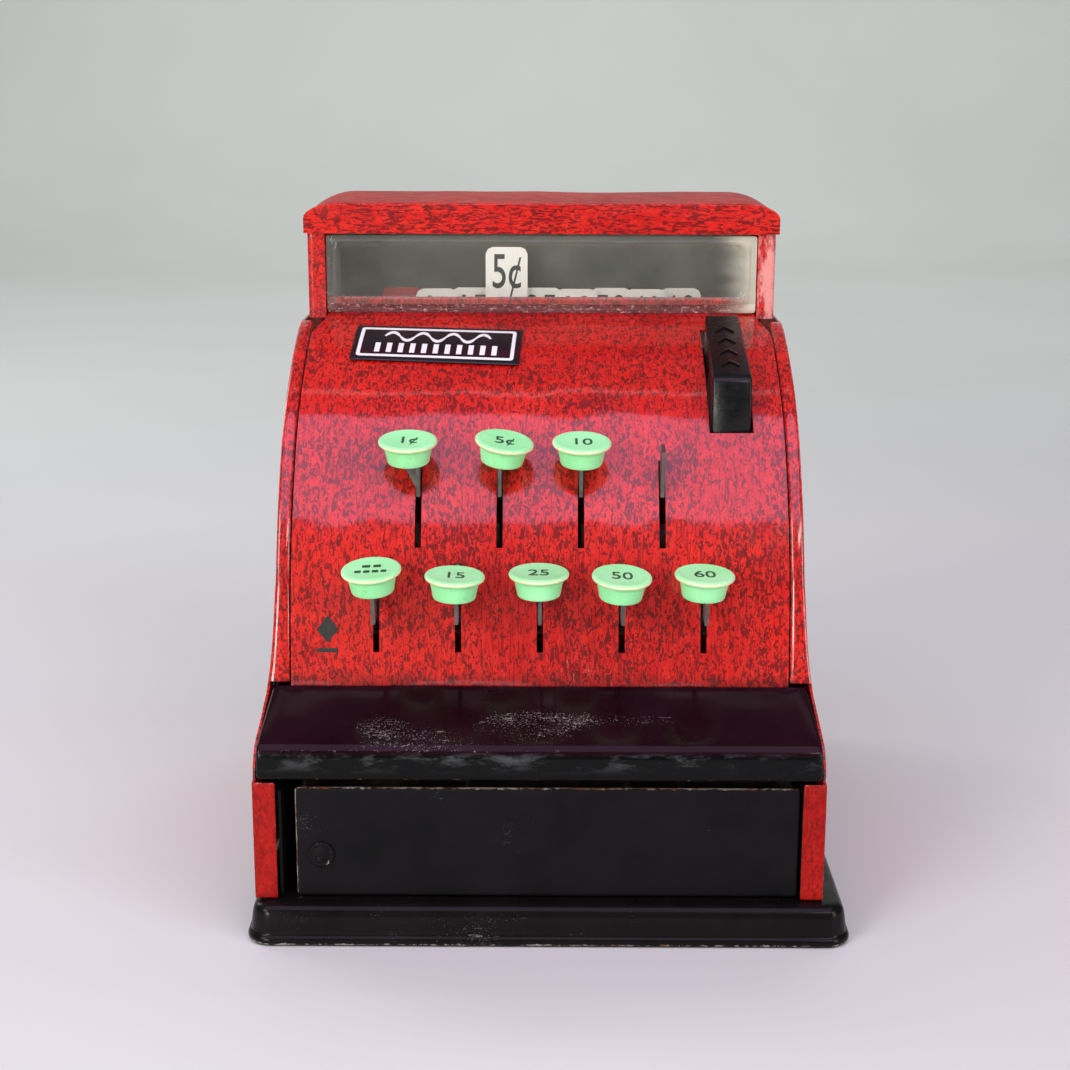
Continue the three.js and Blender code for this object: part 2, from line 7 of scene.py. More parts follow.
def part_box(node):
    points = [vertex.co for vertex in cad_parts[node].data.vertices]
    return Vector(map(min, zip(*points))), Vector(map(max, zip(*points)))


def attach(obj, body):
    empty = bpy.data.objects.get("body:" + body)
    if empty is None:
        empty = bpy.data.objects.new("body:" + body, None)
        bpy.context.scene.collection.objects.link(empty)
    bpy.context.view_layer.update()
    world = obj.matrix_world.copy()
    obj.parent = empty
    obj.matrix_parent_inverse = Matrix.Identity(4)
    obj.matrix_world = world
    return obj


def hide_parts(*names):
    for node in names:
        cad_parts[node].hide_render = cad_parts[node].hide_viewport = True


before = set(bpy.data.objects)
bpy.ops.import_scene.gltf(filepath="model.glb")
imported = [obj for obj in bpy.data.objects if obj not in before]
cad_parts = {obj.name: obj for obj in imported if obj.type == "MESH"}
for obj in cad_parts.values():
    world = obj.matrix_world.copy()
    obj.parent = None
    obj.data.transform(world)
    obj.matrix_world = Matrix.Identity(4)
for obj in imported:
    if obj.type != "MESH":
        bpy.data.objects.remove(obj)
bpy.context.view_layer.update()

MM = 0.001
ZS = 3.0            # the body's height zero over the surface it stands on, mm
XS = -2.6           # sideways shift of the body over the base, mm
YS = -88.0          # design y (0 at the base's front edge) to the row frame
scene = bpy.context.scene
PI = math.pi

# ------------------------------------------------------------------ numbers shared with the CAD source (mm)
PROFILE = [
    (27.0, 61.9), (28.0, 68), (29.2, 75), (30.6, 81.5), (32.2, 88), (34.2, 94.2), (36.7, 100.2),
    (39.7, 106.2), (43.2, 112), (47.0, 117.5), (51.3, 122.9), (56.0, 127.8), (61.2, 132.2),
    (67.0, 136.2), (73.4, 139.9), (80.2, 143.3), (87.4, 146.4), (94.8, 149.1), (101.0, 151.0), (105.9, 152.3)]
FLARE = [(8.3, 76.0), (41, 76.0), (48, 75.6), (54, 75.0), (60, 74.2), (67, 73.2), (76, 72.4), (86, 71.9), (96, 71.65), (153, 71.65)]
PITCH = 22.2
PIVOT = (90.0, 70.0)
KEYS = [("no_sale", False, -2 * PITCH, -3), ("1c", True, -1.5 * PITCH, 0), ("15", False, -PITCH, 2), ("5c", True, -0.5 * PITCH, 8),
        ("25", False, 0, 0), ("10", True, 0.5 * PITCH, 1), ("50", False, PITCH, 3), ("40", True, 1.5 * PITCH, 0), ("60", False, 2 * PITCH, 2)]
NUDGE = {"no_sale": (0, 0.8), "1c": (-2.6, 0), "15": (-0.6, -0.8), "5c": (0.5, 0), "25": (-0.3, 0), "10": (0, -0.3), "50": (-0.8, -0.8), "60": (-1.0, -0.3)}
LEAN = {"no_sale": 9, "1c": 9.5, "15": 3.5, "5c": 10.5, "25": 3.5, "10": 9.5, "50": 7.6, "60": 5}
UPPER = {"slot": (27.2, 50.05), "top": (40.2, 127.0), "lean": 12.7}
LOWER = {"slot": (0.4, 23.2), "top": (21.0, 95.2), "lean": 9.5}
PUSH_X = 53.0
DX0, DX1 = -64.6, 69.0


def W(x, y, z):
    """design millimetres to the row frame in metres"""
    return Vector(((x + XS) * MM, (y + YS) * MM, (z + ZS) * MM))


# ------------------------------------------------------------------ mesh helpers
def new_obj(name, verts, faces, uvs=None):
    me = bpy.data.meshes.new(name)
    me.from_pydata([tuple(v) for v in verts], [], faces)
    me.update()
    ob = bpy.data.objects.new(name, me)
    scene.collection.objects.link(ob)
    if uvs is not None:
        layer = me.uv_layers.new(name="UVMap")
        for poly in me.polygons:
            for li in poly.loop_indices:
                layer.data[li].uv = uvs[me.loops[li].vertex_index]
    return ob


def apply(ob):
    """turns the modifiers into plain mesh"""
    dg = bpy.context.evaluated_depsgraph_get()
    bpy.context.view_layer.update()
    ev = ob.evaluated_get(dg)
    me = bpy.data.meshes.new_from_object(ev, preserve_all_data_layers=True, depsgraph=dg)
    old = ob.data
    ob.modifiers.clear()
    ob.data = me
    if ob.type == "MESH" and old.users == 0:
        bpy.data.meshes.remove(old)
    return ob


def smooth(ob, angle=34):
    me = ob.data
    bm = bmesh.new()
    bm.from_mesh(me)
    lim = math.radians(angle)
    for f in bm.faces:
        f.smooth = True
    for e in bm.edges:
        e.smooth = not (len(e.link_faces) == 2 and e.calc_face_angle(0) > lim) and len(e.link_faces) == 2
    bm.to_mesh(me)
    bm.free()
    return ob


def fix_normals(ob):
    bm = bmesh.new()
    bm.from_mesh(ob.data)
    bmesh.ops.recalc_face_normals(bm, faces=bm.faces)
    bm.to_mesh(ob.data)
    bm.free()
    return ob


def solidify(ob, t, offset=-1.0):
    m = ob.modifiers.new("thickness", "SOLIDIFY")
    m.thickness = t * MM
    m.offset = offset
    m.use_even_offset = True
    return m


def bevel(ob, w, seg=2, angle=30, harden=True):
    m = ob.modifiers.new("edges", "BEVEL")
    m.width = w * MM
    m.segments = seg
    m.limit_method = "ANGLE"
    m.angle_limit = math.radians(angle)
    m.harden_normals = harden
    m.miter_outer = "MITER_ARC"
    return m


def join(name, *obs):
    """joins meshes into the first one"""
    bpy.ops.object.select_all(action="DESELECT")
    for o in obs:
        o.select_set(True)
    bpy.context.view_layer.objects.active = obs[0]
    if len(obs) > 1:
        bpy.ops.object.join()
    obs[0].name = name
    obs[0].data.name = name
    return obs[0]


def catmull(pts, per=6):
    out = []
    n = len(pts)
    for i in range(n - 1):
        p0, p1, p2, p3 = pts[max(i - 1, 0)], pts[i], pts[i + 1], pts[min(i + 2, n - 1)]
        for k in range(per):
            t = k / per
            out.append(tuple(0.5 * ((2 * p1[j]) + (-p0[j] + p2[j]) * t + (2 * p0[j] - 5 * p1[j] + 4 * p2[j] - p3[j]) * t * t
                                    + (-p0[j] + 3 * p1[j] - 3 * p2[j] + p3[j]) * t ** 3) for j in range(len(p1))))
    out.append(tuple(pts[-1]))
    return out


def normals2(line):
    """left-hand unit normals of a 2-D line"""
    out = []
    for i in range(len(line)):
        a, b = line[max(0, i - 1)], line[min(len(line) - 1, i + 1)]
        d = math.hypot(b[0] - a[0], b[1] - a[1]) or 1
        out.append((-(b[1] - a[1]) / d, (b[0] - a[0]) / d))
    return out


def arclen(line):
    s = [0.0]
    for a, b in zip(line, line[1:]):
        s.append(s[-1] + math.hypot(b[0] - a[0], b[1] - a[1]))
    return s


def interp(table, v):
    if v <= table[0][0]:
        return table[0][1]
    for (a, b), (c, d) in zip(table, table[1:]):
        if v <= c:
            t = (v - a) / (c - a)
            return b + (d - b) * t
    return table[-1][1]


def grid(name, rows, uvrows=None, closed_u=False, skip=None):
    """rows of points, all the same length, to a mesh"""
    nr, nc = len(rows), len(rows[0])
    verts = [p for r in rows for p in r]
    faces = []
    for i in range(nr - 1):
        for j in range(nc if closed_u else nc - 1):
            if skip and skip(i, j):
                continue
            k = (j + 1) % nc
            faces.append((i * nc + j, i * nc + k, (i + 1) * nc + k, (i + 1) * nc + j))
    uvs = [p for r in uvrows for p in r] if uvrows else None
    return new_obj(name, verts, faces, uvs)


def rrect(x0, x1, y0, y1, r, n=8, side=6):
    """rounded rectangle as a closed ring with points along its sides too"""
    pts = []
    cs = [(x1 - r, y0 + r, -PI / 2), (x1 - r, y1 - r, 0), (x0 + r, y1 - r, PI / 2), (x0 + r, y0 + r, PI)]
    for q, (cx, cy, a0) in enumerate(cs):
        for i in range(n + 1):
            a = a0 + (PI / 2) * i / n
            pts.append((cx + r * math.cos(a), cy + r * math.sin(a)))
        nx, ny, na = cs[(q + 1) % 4]
        a, b = pts[-1], (nx + r * math.cos(na), ny + r * math.sin(na))
        for i in range(1, side):
            pts.append((a[0] + (b[0] - a[0]) * i / side, a[1] + (b[1] - a[1]) * i / side))
    return pts


def loft(name, rings, cap_first=True, cap_last=True):
    n = len(rings[0])
    verts = [p for r in rings for p in r]
    faces = []
    for i in range(len(rings) - 1):
        for j in range(n):
            k = (j + 1) % n
            faces.append((i * n + j, i * n + k, (i + 1) * n + k, (i + 1) * n + j))
    if cap_first:
        faces.append(tuple(range(n))[::-1])
    if cap_last:
        faces.append(tuple(range((len(rings) - 1) * n, len(rings) * n)))
    ob = new_obj(name, verts, faces)
    return fix_normals(ob)


def lathe(name, profile, seg=64):
    """profile [(r, z)] in mm about Z; on-axis ends are poles"""
    verts, faces, rings = [], [], []
    for r, z in profile:
        if r < 1e-6:
            rings.append([len(verts)])
            verts.append((0, 0, z * MM))
        else:
            rings.append(list(range(len(verts), len(verts) + seg)))
            for i in range(seg):
                a = 2 * PI * i / seg
                verts.append((r * MM * math.cos(a), r * MM * math.sin(a), z * MM))
    for a, b in zip(rings, rings[1:]):
        for i in range(seg):
            k = (i + 1) % seg
            if len(a) == 1:
                faces.append((a[0], b[i], b[k]))
            elif len(b) == 1:
                faces.append((a[i], a[k], b[0]))
            else:
                faces.append((a[i], a[k], b[k], b[i]))
    return fix_normals(new_obj(name, verts, faces))


def xform(ob, m):
    ob.data.transform(m)
    ob.data.update()
    return ob


def dent(x, y, z, scale, amp, seed=0.0):
    return amp * noise.noise(Vector((x * scale + seed, y * scale + 3.7, z * scale + seed * 0.5)))


# ------------------------------------------------------------------ material helpers
def srgb(r, g, b):
    def f(c):
        c /= 255.0
        return c / 12.92 if c <= 0.04045 else ((c + 0.055) / 1.055) ** 2.4
    return (f(r), f(g), f(b), 1.0)


class Mat:
    def __init__(self, name):
        self.m = bpy.data.materials.new(name)
        self.m.use_nodes = True
        self.nt = self.m.node_tree
        self.nt.nodes.clear()
        self.out = self.nt.nodes.new("ShaderNodeOutputMaterial")
        self.bsdf = self.nt.nodes.new("ShaderNodeBsdfPrincipled")
        self.nt.links.new(self.bsdf.outputs[0], self.out.inputs[0])

    def n(self, kind, **kw):
        node = self.nt.nodes.new(kind)
        for k, v in kw.items():
            setattr(node, k, v)
        return node

    def link(self, a, b):
        self.nt.links.new(a, b)

    def put(self, sock, v):
        if hasattr(v, "is_linked") or isinstance(v, bpy.types.NodeSocket):
            self.link(v, sock)
        else:
            sock.default_value = v

    def coords(self, kind="Object"):
        return self.n("ShaderNodeTexCoord").outputs[kind]

    def mapping(self, vec, scale=(1, 1, 1), loc=(0, 0, 0), rot=(0, 0, 0)):
        m = self.n("ShaderNodeMapping")
        m.inputs["Scale"].default_value = scale
        m.inputs["Location"].default_value = loc
        m.inputs["Rotation"].default_value = rot
        self.link(vec, m.inputs["Vector"])
        return m.outputs[0]

    def noise(self, vec, scale, detail=2.0, rough=0.5, distort=0.0, kind="FBM", lac=2.0):
        t = self.n("ShaderNodeTexNoise")
        t.noise_type = kind
        t.inputs["Scale"].default_value = scale
        t.inputs["Detail"].default_value = detail
        t.inputs["Roughness"].default_value = rough
        t.inputs["Distortion"].default_value = distort
        t.inputs["Lacunarity"].default_value = lac
        self.link(vec, t.inputs["Vector"])
        return t.outputs["Fac"]

    def voronoi(self, vec, scale, feature="F1", rnd=1.0, out="Distance"):
        t = self.n("ShaderNodeTexVoronoi")
        t.feature = feature
        t.inputs["Scale"].default_value = scale
        t.inputs["Randomness"].default_value = rnd
        self.link(vec, t.inputs["Vector"])
        return t.outputs[out]

    def ramp(self, fac, stops, interp="LINEAR"):
        r = self.n("ShaderNodeValToRGB")
        r.color_ramp.interpolation = interp
        els = r.color_ramp.elements
        while len(els) < len(stops):
            els.new(0.5)
        for e, (p, c) in zip(els, stops):
            e.position = p
            e.color = c if len(c) == 4 else (*c, 1)
        self.link(fac, r.inputs[0])
        return r.outputs[0]

    def step(self, fac, lo, hi):
        """0 below lo, 1 above hi"""
        m = self.n("ShaderNodeMapRange")
        m.inputs["From Min"].default_value = lo
        m.inputs["From Max"].default_value = hi
        m.inputs["To Min"].default_value = 0
        m.inputs["To Max"].default_value = 1
        m.interpolation_type = "SMOOTHSTEP"
        self.link(fac, m.inputs["Value"])
        return m.outputs[0]

    def remap(self, fac, a, b, c, d):
        m = self.n("ShaderNodeMapRange")
        for k, v in zip(("From Min", "From Max", "To Min", "To Max"), (a, b, c, d)):
            m.inputs[k].default_value = v
        self.link(fac, m.inputs["Value"])
        return m.outputs[0]

    def math(self, op, a, b=None, clamp=False):
        m = self.n("ShaderNodeMath", operation=op, use_clamp=clamp)
        self.put(m.inputs[0], a)
        if b is not None:
            self.put(m.inputs[1], b)
        return m.outputs[0]

    def mix(self, fac, a, b, mode="MIX"):
        m = self.n("ShaderNodeMix", data_type="RGBA", blend_type=mode)
        self.put(m.inputs["Factor"], fac)
        self.put(m.inputs[6], a)
        self.put(m.inputs[7], b)
        return m.outputs[2]

    def sep(self, vec):
        s = self.n("ShaderNodeSeparateXYZ")
        self.link(vec, s.inputs[0])
        return s.outputs

    def attr(self, name):
        a = self.n("ShaderNodeAttribute", attribute_name=name)
        return a.outputs["Fac"]

    def bump(self, height, strength=0.2, dist=0.0002, normal=None):
        b = self.n("ShaderNodeBump")
        b.inputs["Strength"].default_value = strength
        b.inputs["Distance"].default_value = dist
        self.link(height, b.inputs["Height"])
        if normal is not None:
            self.link(normal, b.inputs["Normal"])
        return b.outputs[0]

    def set(self, **kw):
        for k, v in kw.items():
            self.put(self.bsdf.inputs[k.replace("_", " ")], v)
        return self


def paint_wear_and_painted_light(ob, fn, key="wear_and_highlight"):
    """float attribute per vertex from fn(x, y, z) in body mm"""
    a = ob.data.attributes.get(key) or ob.data.attributes.new(key, "FLOAT", "POINT")
    for i, v in enumerate(ob.data.vertices):
        a.data[i].value = fn(v.co.x / MM - XS, v.co.y / MM - YS, v.co.z / MM - ZS)
    return ob


# ------------------------------------------------------------------ materials
def red_litho(name, streak=(1.0, 0.22), speck=0.5, use_uv=True, dark=0.0, gloss=0.42, low=None, coat=0.85, post_reflection=False):
    """printed tinplate: red ground, dark red bark-like specks, varnish, scuffs, worn edges and painted edge highlights
    from the 'wear_and_highlight' attribute, darkening from the 'shade' attribute (painted shade on the strips under the
    ledge).
    Coordinates are millimetres: UV (across, along) on swept pieces, object space elsewhere."""
    M = Mat(name)
    if use_uv:
        mm = M.coords("UV")
    else:
        mm = M.mapping(M.coords("Object"), scale=(1000, 1000, 1000))
    sx, sy = streak
    big = M.noise(M.mapping(mm, scale=(0.022, 0.022, 0.022)), 1.0, 3, 0.55)
    ground = M.ramp(big, [(0.28, srgb(176, 8, 8)), (0.45, srgb(198, 15, 9)), (0.60, srgb(211, 27, 15)), (0.8, srgb(186, 12, 10))])
    fine = M.noise(M.mapping(mm, scale=(0.5 * sx + 0.2, 0.5 * sy + 0.1, 0.5)), 1.0, 4, 0.6)
    ground = M.mix(M.math("MULTIPLY", M.step(fine, 0.42, 0.62), 0.30), ground, srgb(226, 54, 32))
    # density clouds
    dens = M.noise(M.mapping(mm, scale=(0.055, 0.040, 0.05), loc=(11, 4, 2)), 1.0, 3, 0.6)
    # short bark specks
    st = M.mapping(mm, scale=(0.95 * sx, 0.42 * sy / 0.22, 0.8), loc=(3.1, 7.7, 0))
    n1 = M.noise(st, 1.0, 4.0, 0.62, 1.1)
    m1 = M.step(M.math("SUBTRACT", n1, M.remap(dens, 0.3, 0.7, 0.565, 0.468)), 0.0, 0.016)
    # long thin streaks
    n3 = M.noise(M.mapping(mm, scale=(1.7 * sx, 0.13 * sy / 0.22, 0.9), loc=(1.3, 2.7, 0)), 1.0, 3.0, 0.6, 0.5)
    m3 = M.step(M.math("SUBTRACT", n3, M.remap(dens, 0.35, 0.65, 0.56, 0.64)), 0.0, 0.03)
    # fine specks
    n2 = M.noise(M.mapping(mm, scale=(2.3, 1.9, 2.0), loc=(5, 9, 1)), 1.0, 2.0, 0.6, 0.8)
    m2 = M.math("MULTIPLY", M.step(n2, 0.585, 0.625), speck)
    m = M.math("MAXIMUM", M.math("MAXIMUM", m1, m2), M.math("MULTIPLY", m3, 0.8))
    tone = M.noise(M.mapping(mm, scale=(0.3, 0.2, 0.3)), 1.0, 3, 0.6)
    darkc = M.ramp(tone, [(0.3, srgb(70, 2, 6)), (0.7, srgb(112, 6, 10))])
    col = M.mix(M.math("MULTIPLY", m, M.math("SUBTRACT", 0.86, M.math("MULTIPLY", M.attr("shade"), 0.9))), ground, darkc)
    if dark:
        col = M.mix(dark, col, srgb(70, 26, 14))
    if low is not None:
        # darker along the bottom of the sheet, where it meets the ledge
        v = M.sep(mm)[1]
        g = M.math("SUBTRACT", 1.0, M.step(M.math("ADD", v, M.math("MULTIPLY", M.noise(M.mapping(mm, scale=(0.25, 0.25, 0.25)), 1.0, 4, 0.6), 9.0)), low, low + 6.5))
        col = M.mix(M.math("MULTIPLY", g, 0.62), col, srgb(40, 10, 8))
    # the 'shade' attribute darkens the sheet (painted shade on the strips under the ledge lip, and a darker lid top);
    # it also weakens the specks above and thins the coat below
    col = M.mix(M.attr("shade"), col, srgb(66, 4, 4))
    if post_reflection:
        # painted reflection: a pale pink patch on the right-hand post, broken up by noise
        ox = M.sep(mm)[0]
        f = M.math("MULTIPLY", M.step(ox, 60.6, 61.6), M.step(M.noise(M.mapping(mm, scale=(0.35, 0.2, 0.12), loc=(4, 4, 4)), 1.0, 4, 0.65), 0.36, 0.58))
        f = M.math("MULTIPLY", f, M.math("SUBTRACT", 1.0, M.step(M.sep(mm)[1], 20.0, 24.0)))
        col = M.mix(M.math("MULTIPLY", f, 0.75), col, srgb(240, 168, 160))
    # pale scuffs and scratches
    sc = M.noise(M.mapping(mm, scale=(1.3, 0.14, 0.5), rot=(0, 0, 0.6)), 1.0, 4, 0.7, 0.3)
    scd = M.noise(M.mapping(mm, scale=(0.045, 0.045, 0.045), loc=(21, 14, 2)), 1.0, 2, 0.5)
    scm = M.math("MULTIPLY", M.step(M.math("ADD", sc, M.math("MULTIPLY", M.math("SUBTRACT", scd, 0.5), 0.35)), 0.72, 0.77), 0.55)
    pin = M.noise(M.mapping(mm, scale=(1.3, 1.3, 1.3), loc=(31, 4, 12)), 1.0, 3, 0.8)
    pinm = M.math("MULTIPLY", M.step(M.math("ADD", pin, M.math("MULTIPLY", M.math("SUBTRACT", scd, 0.5), 0.25)), 0.735, 0.76), 0.8)
    col = M.mix(M.math("MAXIMUM", scm, pinm), col, srgb(222, 150, 140))
    # wear to bare tin, and the painted edge highlights set in the same attribute
    wn = M.noise(M.mapping(mm, scale=(0.8, 0.8, 0.8), loc=(1, 2, 3)), 1.0, 5, 0.7)
    wr = M.math("ADD", M.attr("wear_and_highlight"), M.math("MULTIPLY", M.math("SUBTRACT", wn, 0.5), 0.9))
    w1 = M.step(wr, 0.50, 0.62)
    w2 = M.step(wr, 0.66, 0.78)
    col = M.mix(M.math("MULTIPLY", w1, 0.8), col, srgb(206, 112, 112))
    col = M.mix(w2, col, srgb(236, 220, 212))
    rough = M.remap(M.noise(M.mapping(mm, scale=(0.15, 0.15, 0.15)), 1.0, 4, 0.6), 0.3, 0.7, gloss - 0.06, gloss + 0.10)
    rough = M.math("ADD", rough, M.math("MULTIPLY", w1, 0.18), clamp=True)
    M.set(Base_Color=col, Roughness=rough)
    M.bsdf.inputs["Specular IOR Level"].default_value = 0.18
    M.set(Coat_Weight=M.math("MULTIPLY", coat, M.math("SUBTRACT", 1.0, M.math("MULTIPLY", M.attr("shade"), 2.6), clamp=True)))
    M.bsdf.inputs["Coat IOR"].default_value = 1.62
    M.set(Coat_Roughness=M.remap(M.noise(M.mapping(mm, scale=(0.3, 0.3, 0.3), loc=(3, 3, 1)), 1.0, 4, 0.65), 0.3, 0.7, 0.05, 0.16))
    h = M.math("ADD", M.noise(M.mapping(mm, scale=(0.045, 0.022, 0.03)), 1.0, 2, 0.5), M.math("MULTIPLY", M.noise(M.mapping(mm, scale=(0.9, 0.9, 0.9)), 1.0, 3, 0.6), 0.006))
    M.set(Normal=M.bump(h, 0.30, 0.0014), Coat_Normal=M.bump(h, 0.45, 0.0016))
    return M.m


def black_enamel(name, gloss=0.16, chips=1.0, base=(9, 8, 10), scr=1.0, use_uv=False, coat=0.6, spec=0.4, clusters=False):
    M = Mat(name)
    mm = M.coords("UV") if use_uv else M.mapping(M.coords("Object"), scale=(1000, 1000, 1000))
    n = M.noise(M.mapping(mm, scale=(0.05, 0.05, 0.05)), 1.0, 3, 0.6)
    b = base
    col = M.ramp(n, [(0.3, srgb(*b)), (0.7, srgb(b[0] + 10, b[1] + 8, b[2] + 9))])
    if clusters:
        oz = M.sep(M.mapping(M.coords("Object"), scale=(1000, 1000, 1000)))[2]
        lip = M.math("SUBTRACT", 1.0, M.step(oz, 51.6, 53.2))
        col = M.mix(lip, col, srgb(9, 9, 9))
        sm = M.noise(M.mapping(M.coords("Object"), scale=(90, 90, 260), loc=(3, 5, 1)), 1.0, 5, 0.7)
        smear = M.math("MULTIPLY", M.math("MULTIPLY", lip, M.step(oz, 46.5, 51.5)), M.step(sm, 0.46, 0.66))
        col = M.mix(M.math("MULTIPLY", smear, 0.30), col, srgb(118, 122, 122))
    # dust and short white scratches
    sp = M.noise(M.mapping(mm, scale=(1.9, 1.9, 1.9), loc=(4, 1, 6)), 1.0, 4, 0.75, 0.4)
    cluster = M.noise(M.mapping(mm, scale=(0.045, 0.07, 0.05), loc=(2.2, 5.1, 0.3)), 1.0, 2, 0.5)
    if clusters:
        cluster = M.math("ADD", M.math("MULTIPLY", M.attr("scratch"), 0.46), M.math("MULTIPLY", cluster, 0.50))
    else:
        cluster = M.math("SUBTRACT", cluster, 0.055)
    spm = M.step(M.math("ADD", sp, M.math("MULTIPLY", M.math("SUBTRACT", cluster, 0.5), 0.7)), 0.69, 0.73)
    scx = M.noise(M.mapping(mm, scale=(0.22, 1.9, 1.7), rot=(0, 0, 0.35), loc=(9, 2, 2)), 1.0, 4, 0.7, 0.9)
    scm = M.step(M.math("ADD", scx, M.math("MULTIPLY", M.math("SUBTRACT", cluster, 0.5), 0.75)), 0.735, 0.77)
    marks = M.math("MULTIPLY", M.math("MAXIMUM", spm, scm), 0.55 * scr)
    col = M.mix(marks, col, srgb(150, 146, 146))
    wn = M.noise(M.mapping(mm, scale=(0.55, 0.55, 0.55), loc=(8, 2, 3)), 1.0, 5, 0.72)
    wr = M.math("ADD", M.attr("wear_and_highlight"), M.math("MULTIPLY", M.math("SUBTRACT", wn, 0.5), 1.1))
    w = M.math("MULTIPLY", M.step(wr, 0.60, 0.68), chips)
    rust = M.noise(M.mapping(mm, scale=(0.25, 0.25, 0.25), loc=(1, 7, 3)), 1.0, 3, 0.6)
    wc = M.ramp(rust, [(0.42, srgb(150, 142, 136)), (0.60, srgb(104, 66, 44))])
    col = M.mix(w, col, wc)
    rough = M.remap(M.noise(M.mapping(mm, scale=(0.12, 0.12, 0.12), loc=(3, 3, 3)), 1.0, 4, 0.65), 0.3, 0.7, gloss, gloss + 0.14)
    rough = M.math("ADD", rough, M.math("MULTIPLY", M.math("MAXIMUM", w, marks), 0.35), clamp=True)
    M.set(Base_Color=col, Roughness=rough)
    M.bsdf.inputs["Specular IOR Level"].default_value = spec
    M.bsdf.inputs["Coat Weight"].default_value = coat
    M.bsdf.inputs["Coat Roughness"].default_value = 0.08
    h = M.math("SUBTRACT", M.noise(M.mapping(mm, scale=(0.045, 0.045, 0.045)), 1.0, 2, 0.5), M.math("MULTIPLY", w, 0.06))
    M.set(Normal=M.bump(h, 0.3, 0.0012))
    return M.m


def plastic(name, c1, c2, rough=0.32, sss=0.0, grime=0.0, scale=0.08, spec=0.5, rim=None):
    M = Mat(name)
    mm = M.mapping(M.coords("Object"), scale=(1000, 1000, 1000))
    n = M.noise(M.mapping(mm, scale=(scale, scale, scale)), 1.0, 4, 0.6)
    col = M.ramp(n, [(0.3, srgb(*c1)), (0.7, srgb(*c2))])
    if grime:
        g = M.noise(M.mapping(mm, scale=(0.7, 0.7, 0.7), loc=(3, 1, 1)), 1.0, 5, 0.7)
        gm = M.math("MULTIPLY", M.step(g, 0.60, 0.70), grime)
        col = M.mix(gm, col, srgb(86, 92, 70))
    if rim:
        e = M.math("ADD", M.attr("wear_and_highlight"), M.math("MULTIPLY", M.math("SUBTRACT", M.noise(M.mapping(mm, scale=(0.9, 0.9, 0.9)), 1.0, 4, 0.7), 0.5), 0.8))
        col = M.mix(M.math("MULTIPLY", M.step(e, 0.42, 0.62), 0.8), col, srgb(*rim))
    r = M.remap(M.noise(M.mapping(mm, scale=(0.4, 0.4, 0.4)), 1.0, 4, 0.6), 0.3, 0.7, rough - 0.05, rough + 0.10)
    M.set(Base_Color=col, Roughness=r)
    M.bsdf.inputs["Specular IOR Level"].default_value = spec
    if sss:
        M.bsdf.inputs["Subsurface Weight"].default_value = sss
        M.bsdf.inputs["Subsurface Radius"].default_value = (0.3, 1.0, 0.4)
        M.bsdf.inputs["Subsurface Scale"].default_value = 0.002
    M.set(Normal=M.bump(M.noise(M.mapping(mm, scale=(1.2, 1.2, 1.2)), 1.0, 4, 0.6), 0.12, 0.0002))
    return M.m


def metal(name, c1, c2, rough=0.38, stretch=(0.4, 4, 4), rust=0.0):
    M = Mat(name)
    mm = M.mapping(M.coords("Object"), scale=(1000, 1000, 1000))
    n = M.noise(M.mapping(mm, scale=tuple(0.5 * s for s in stretch)), 1.0, 5, 0.65)
    n2 = M.noise(M.mapping(mm, scale=(0.12, 0.12, 0.12)), 1.0, 4, 0.6)
    col = M.ramp(n2, [(0.3, srgb(*c1)), (0.7, srgb(*c2))])
    if rust:
        g = M.noise(M.mapping(mm, scale=(0.35, 0.35, 0.35), loc=(3, 1, 1)), 1.0, 5, 0.7)
        col = M.mix(M.math("MULTIPLY", M.step(g, 0.56, 0.68), rust), col, srgb(92, 58, 40))
    M.set(Base_Color=col, Roughness=M.remap(n, 0.3, 0.7, rough - 0.08, rough + 0.14))
    M.bsdf.inputs["Metallic"].default_value = 0.9
    M.set(Normal=M.bump(n, 0.08, 0.0002))
    return M.m


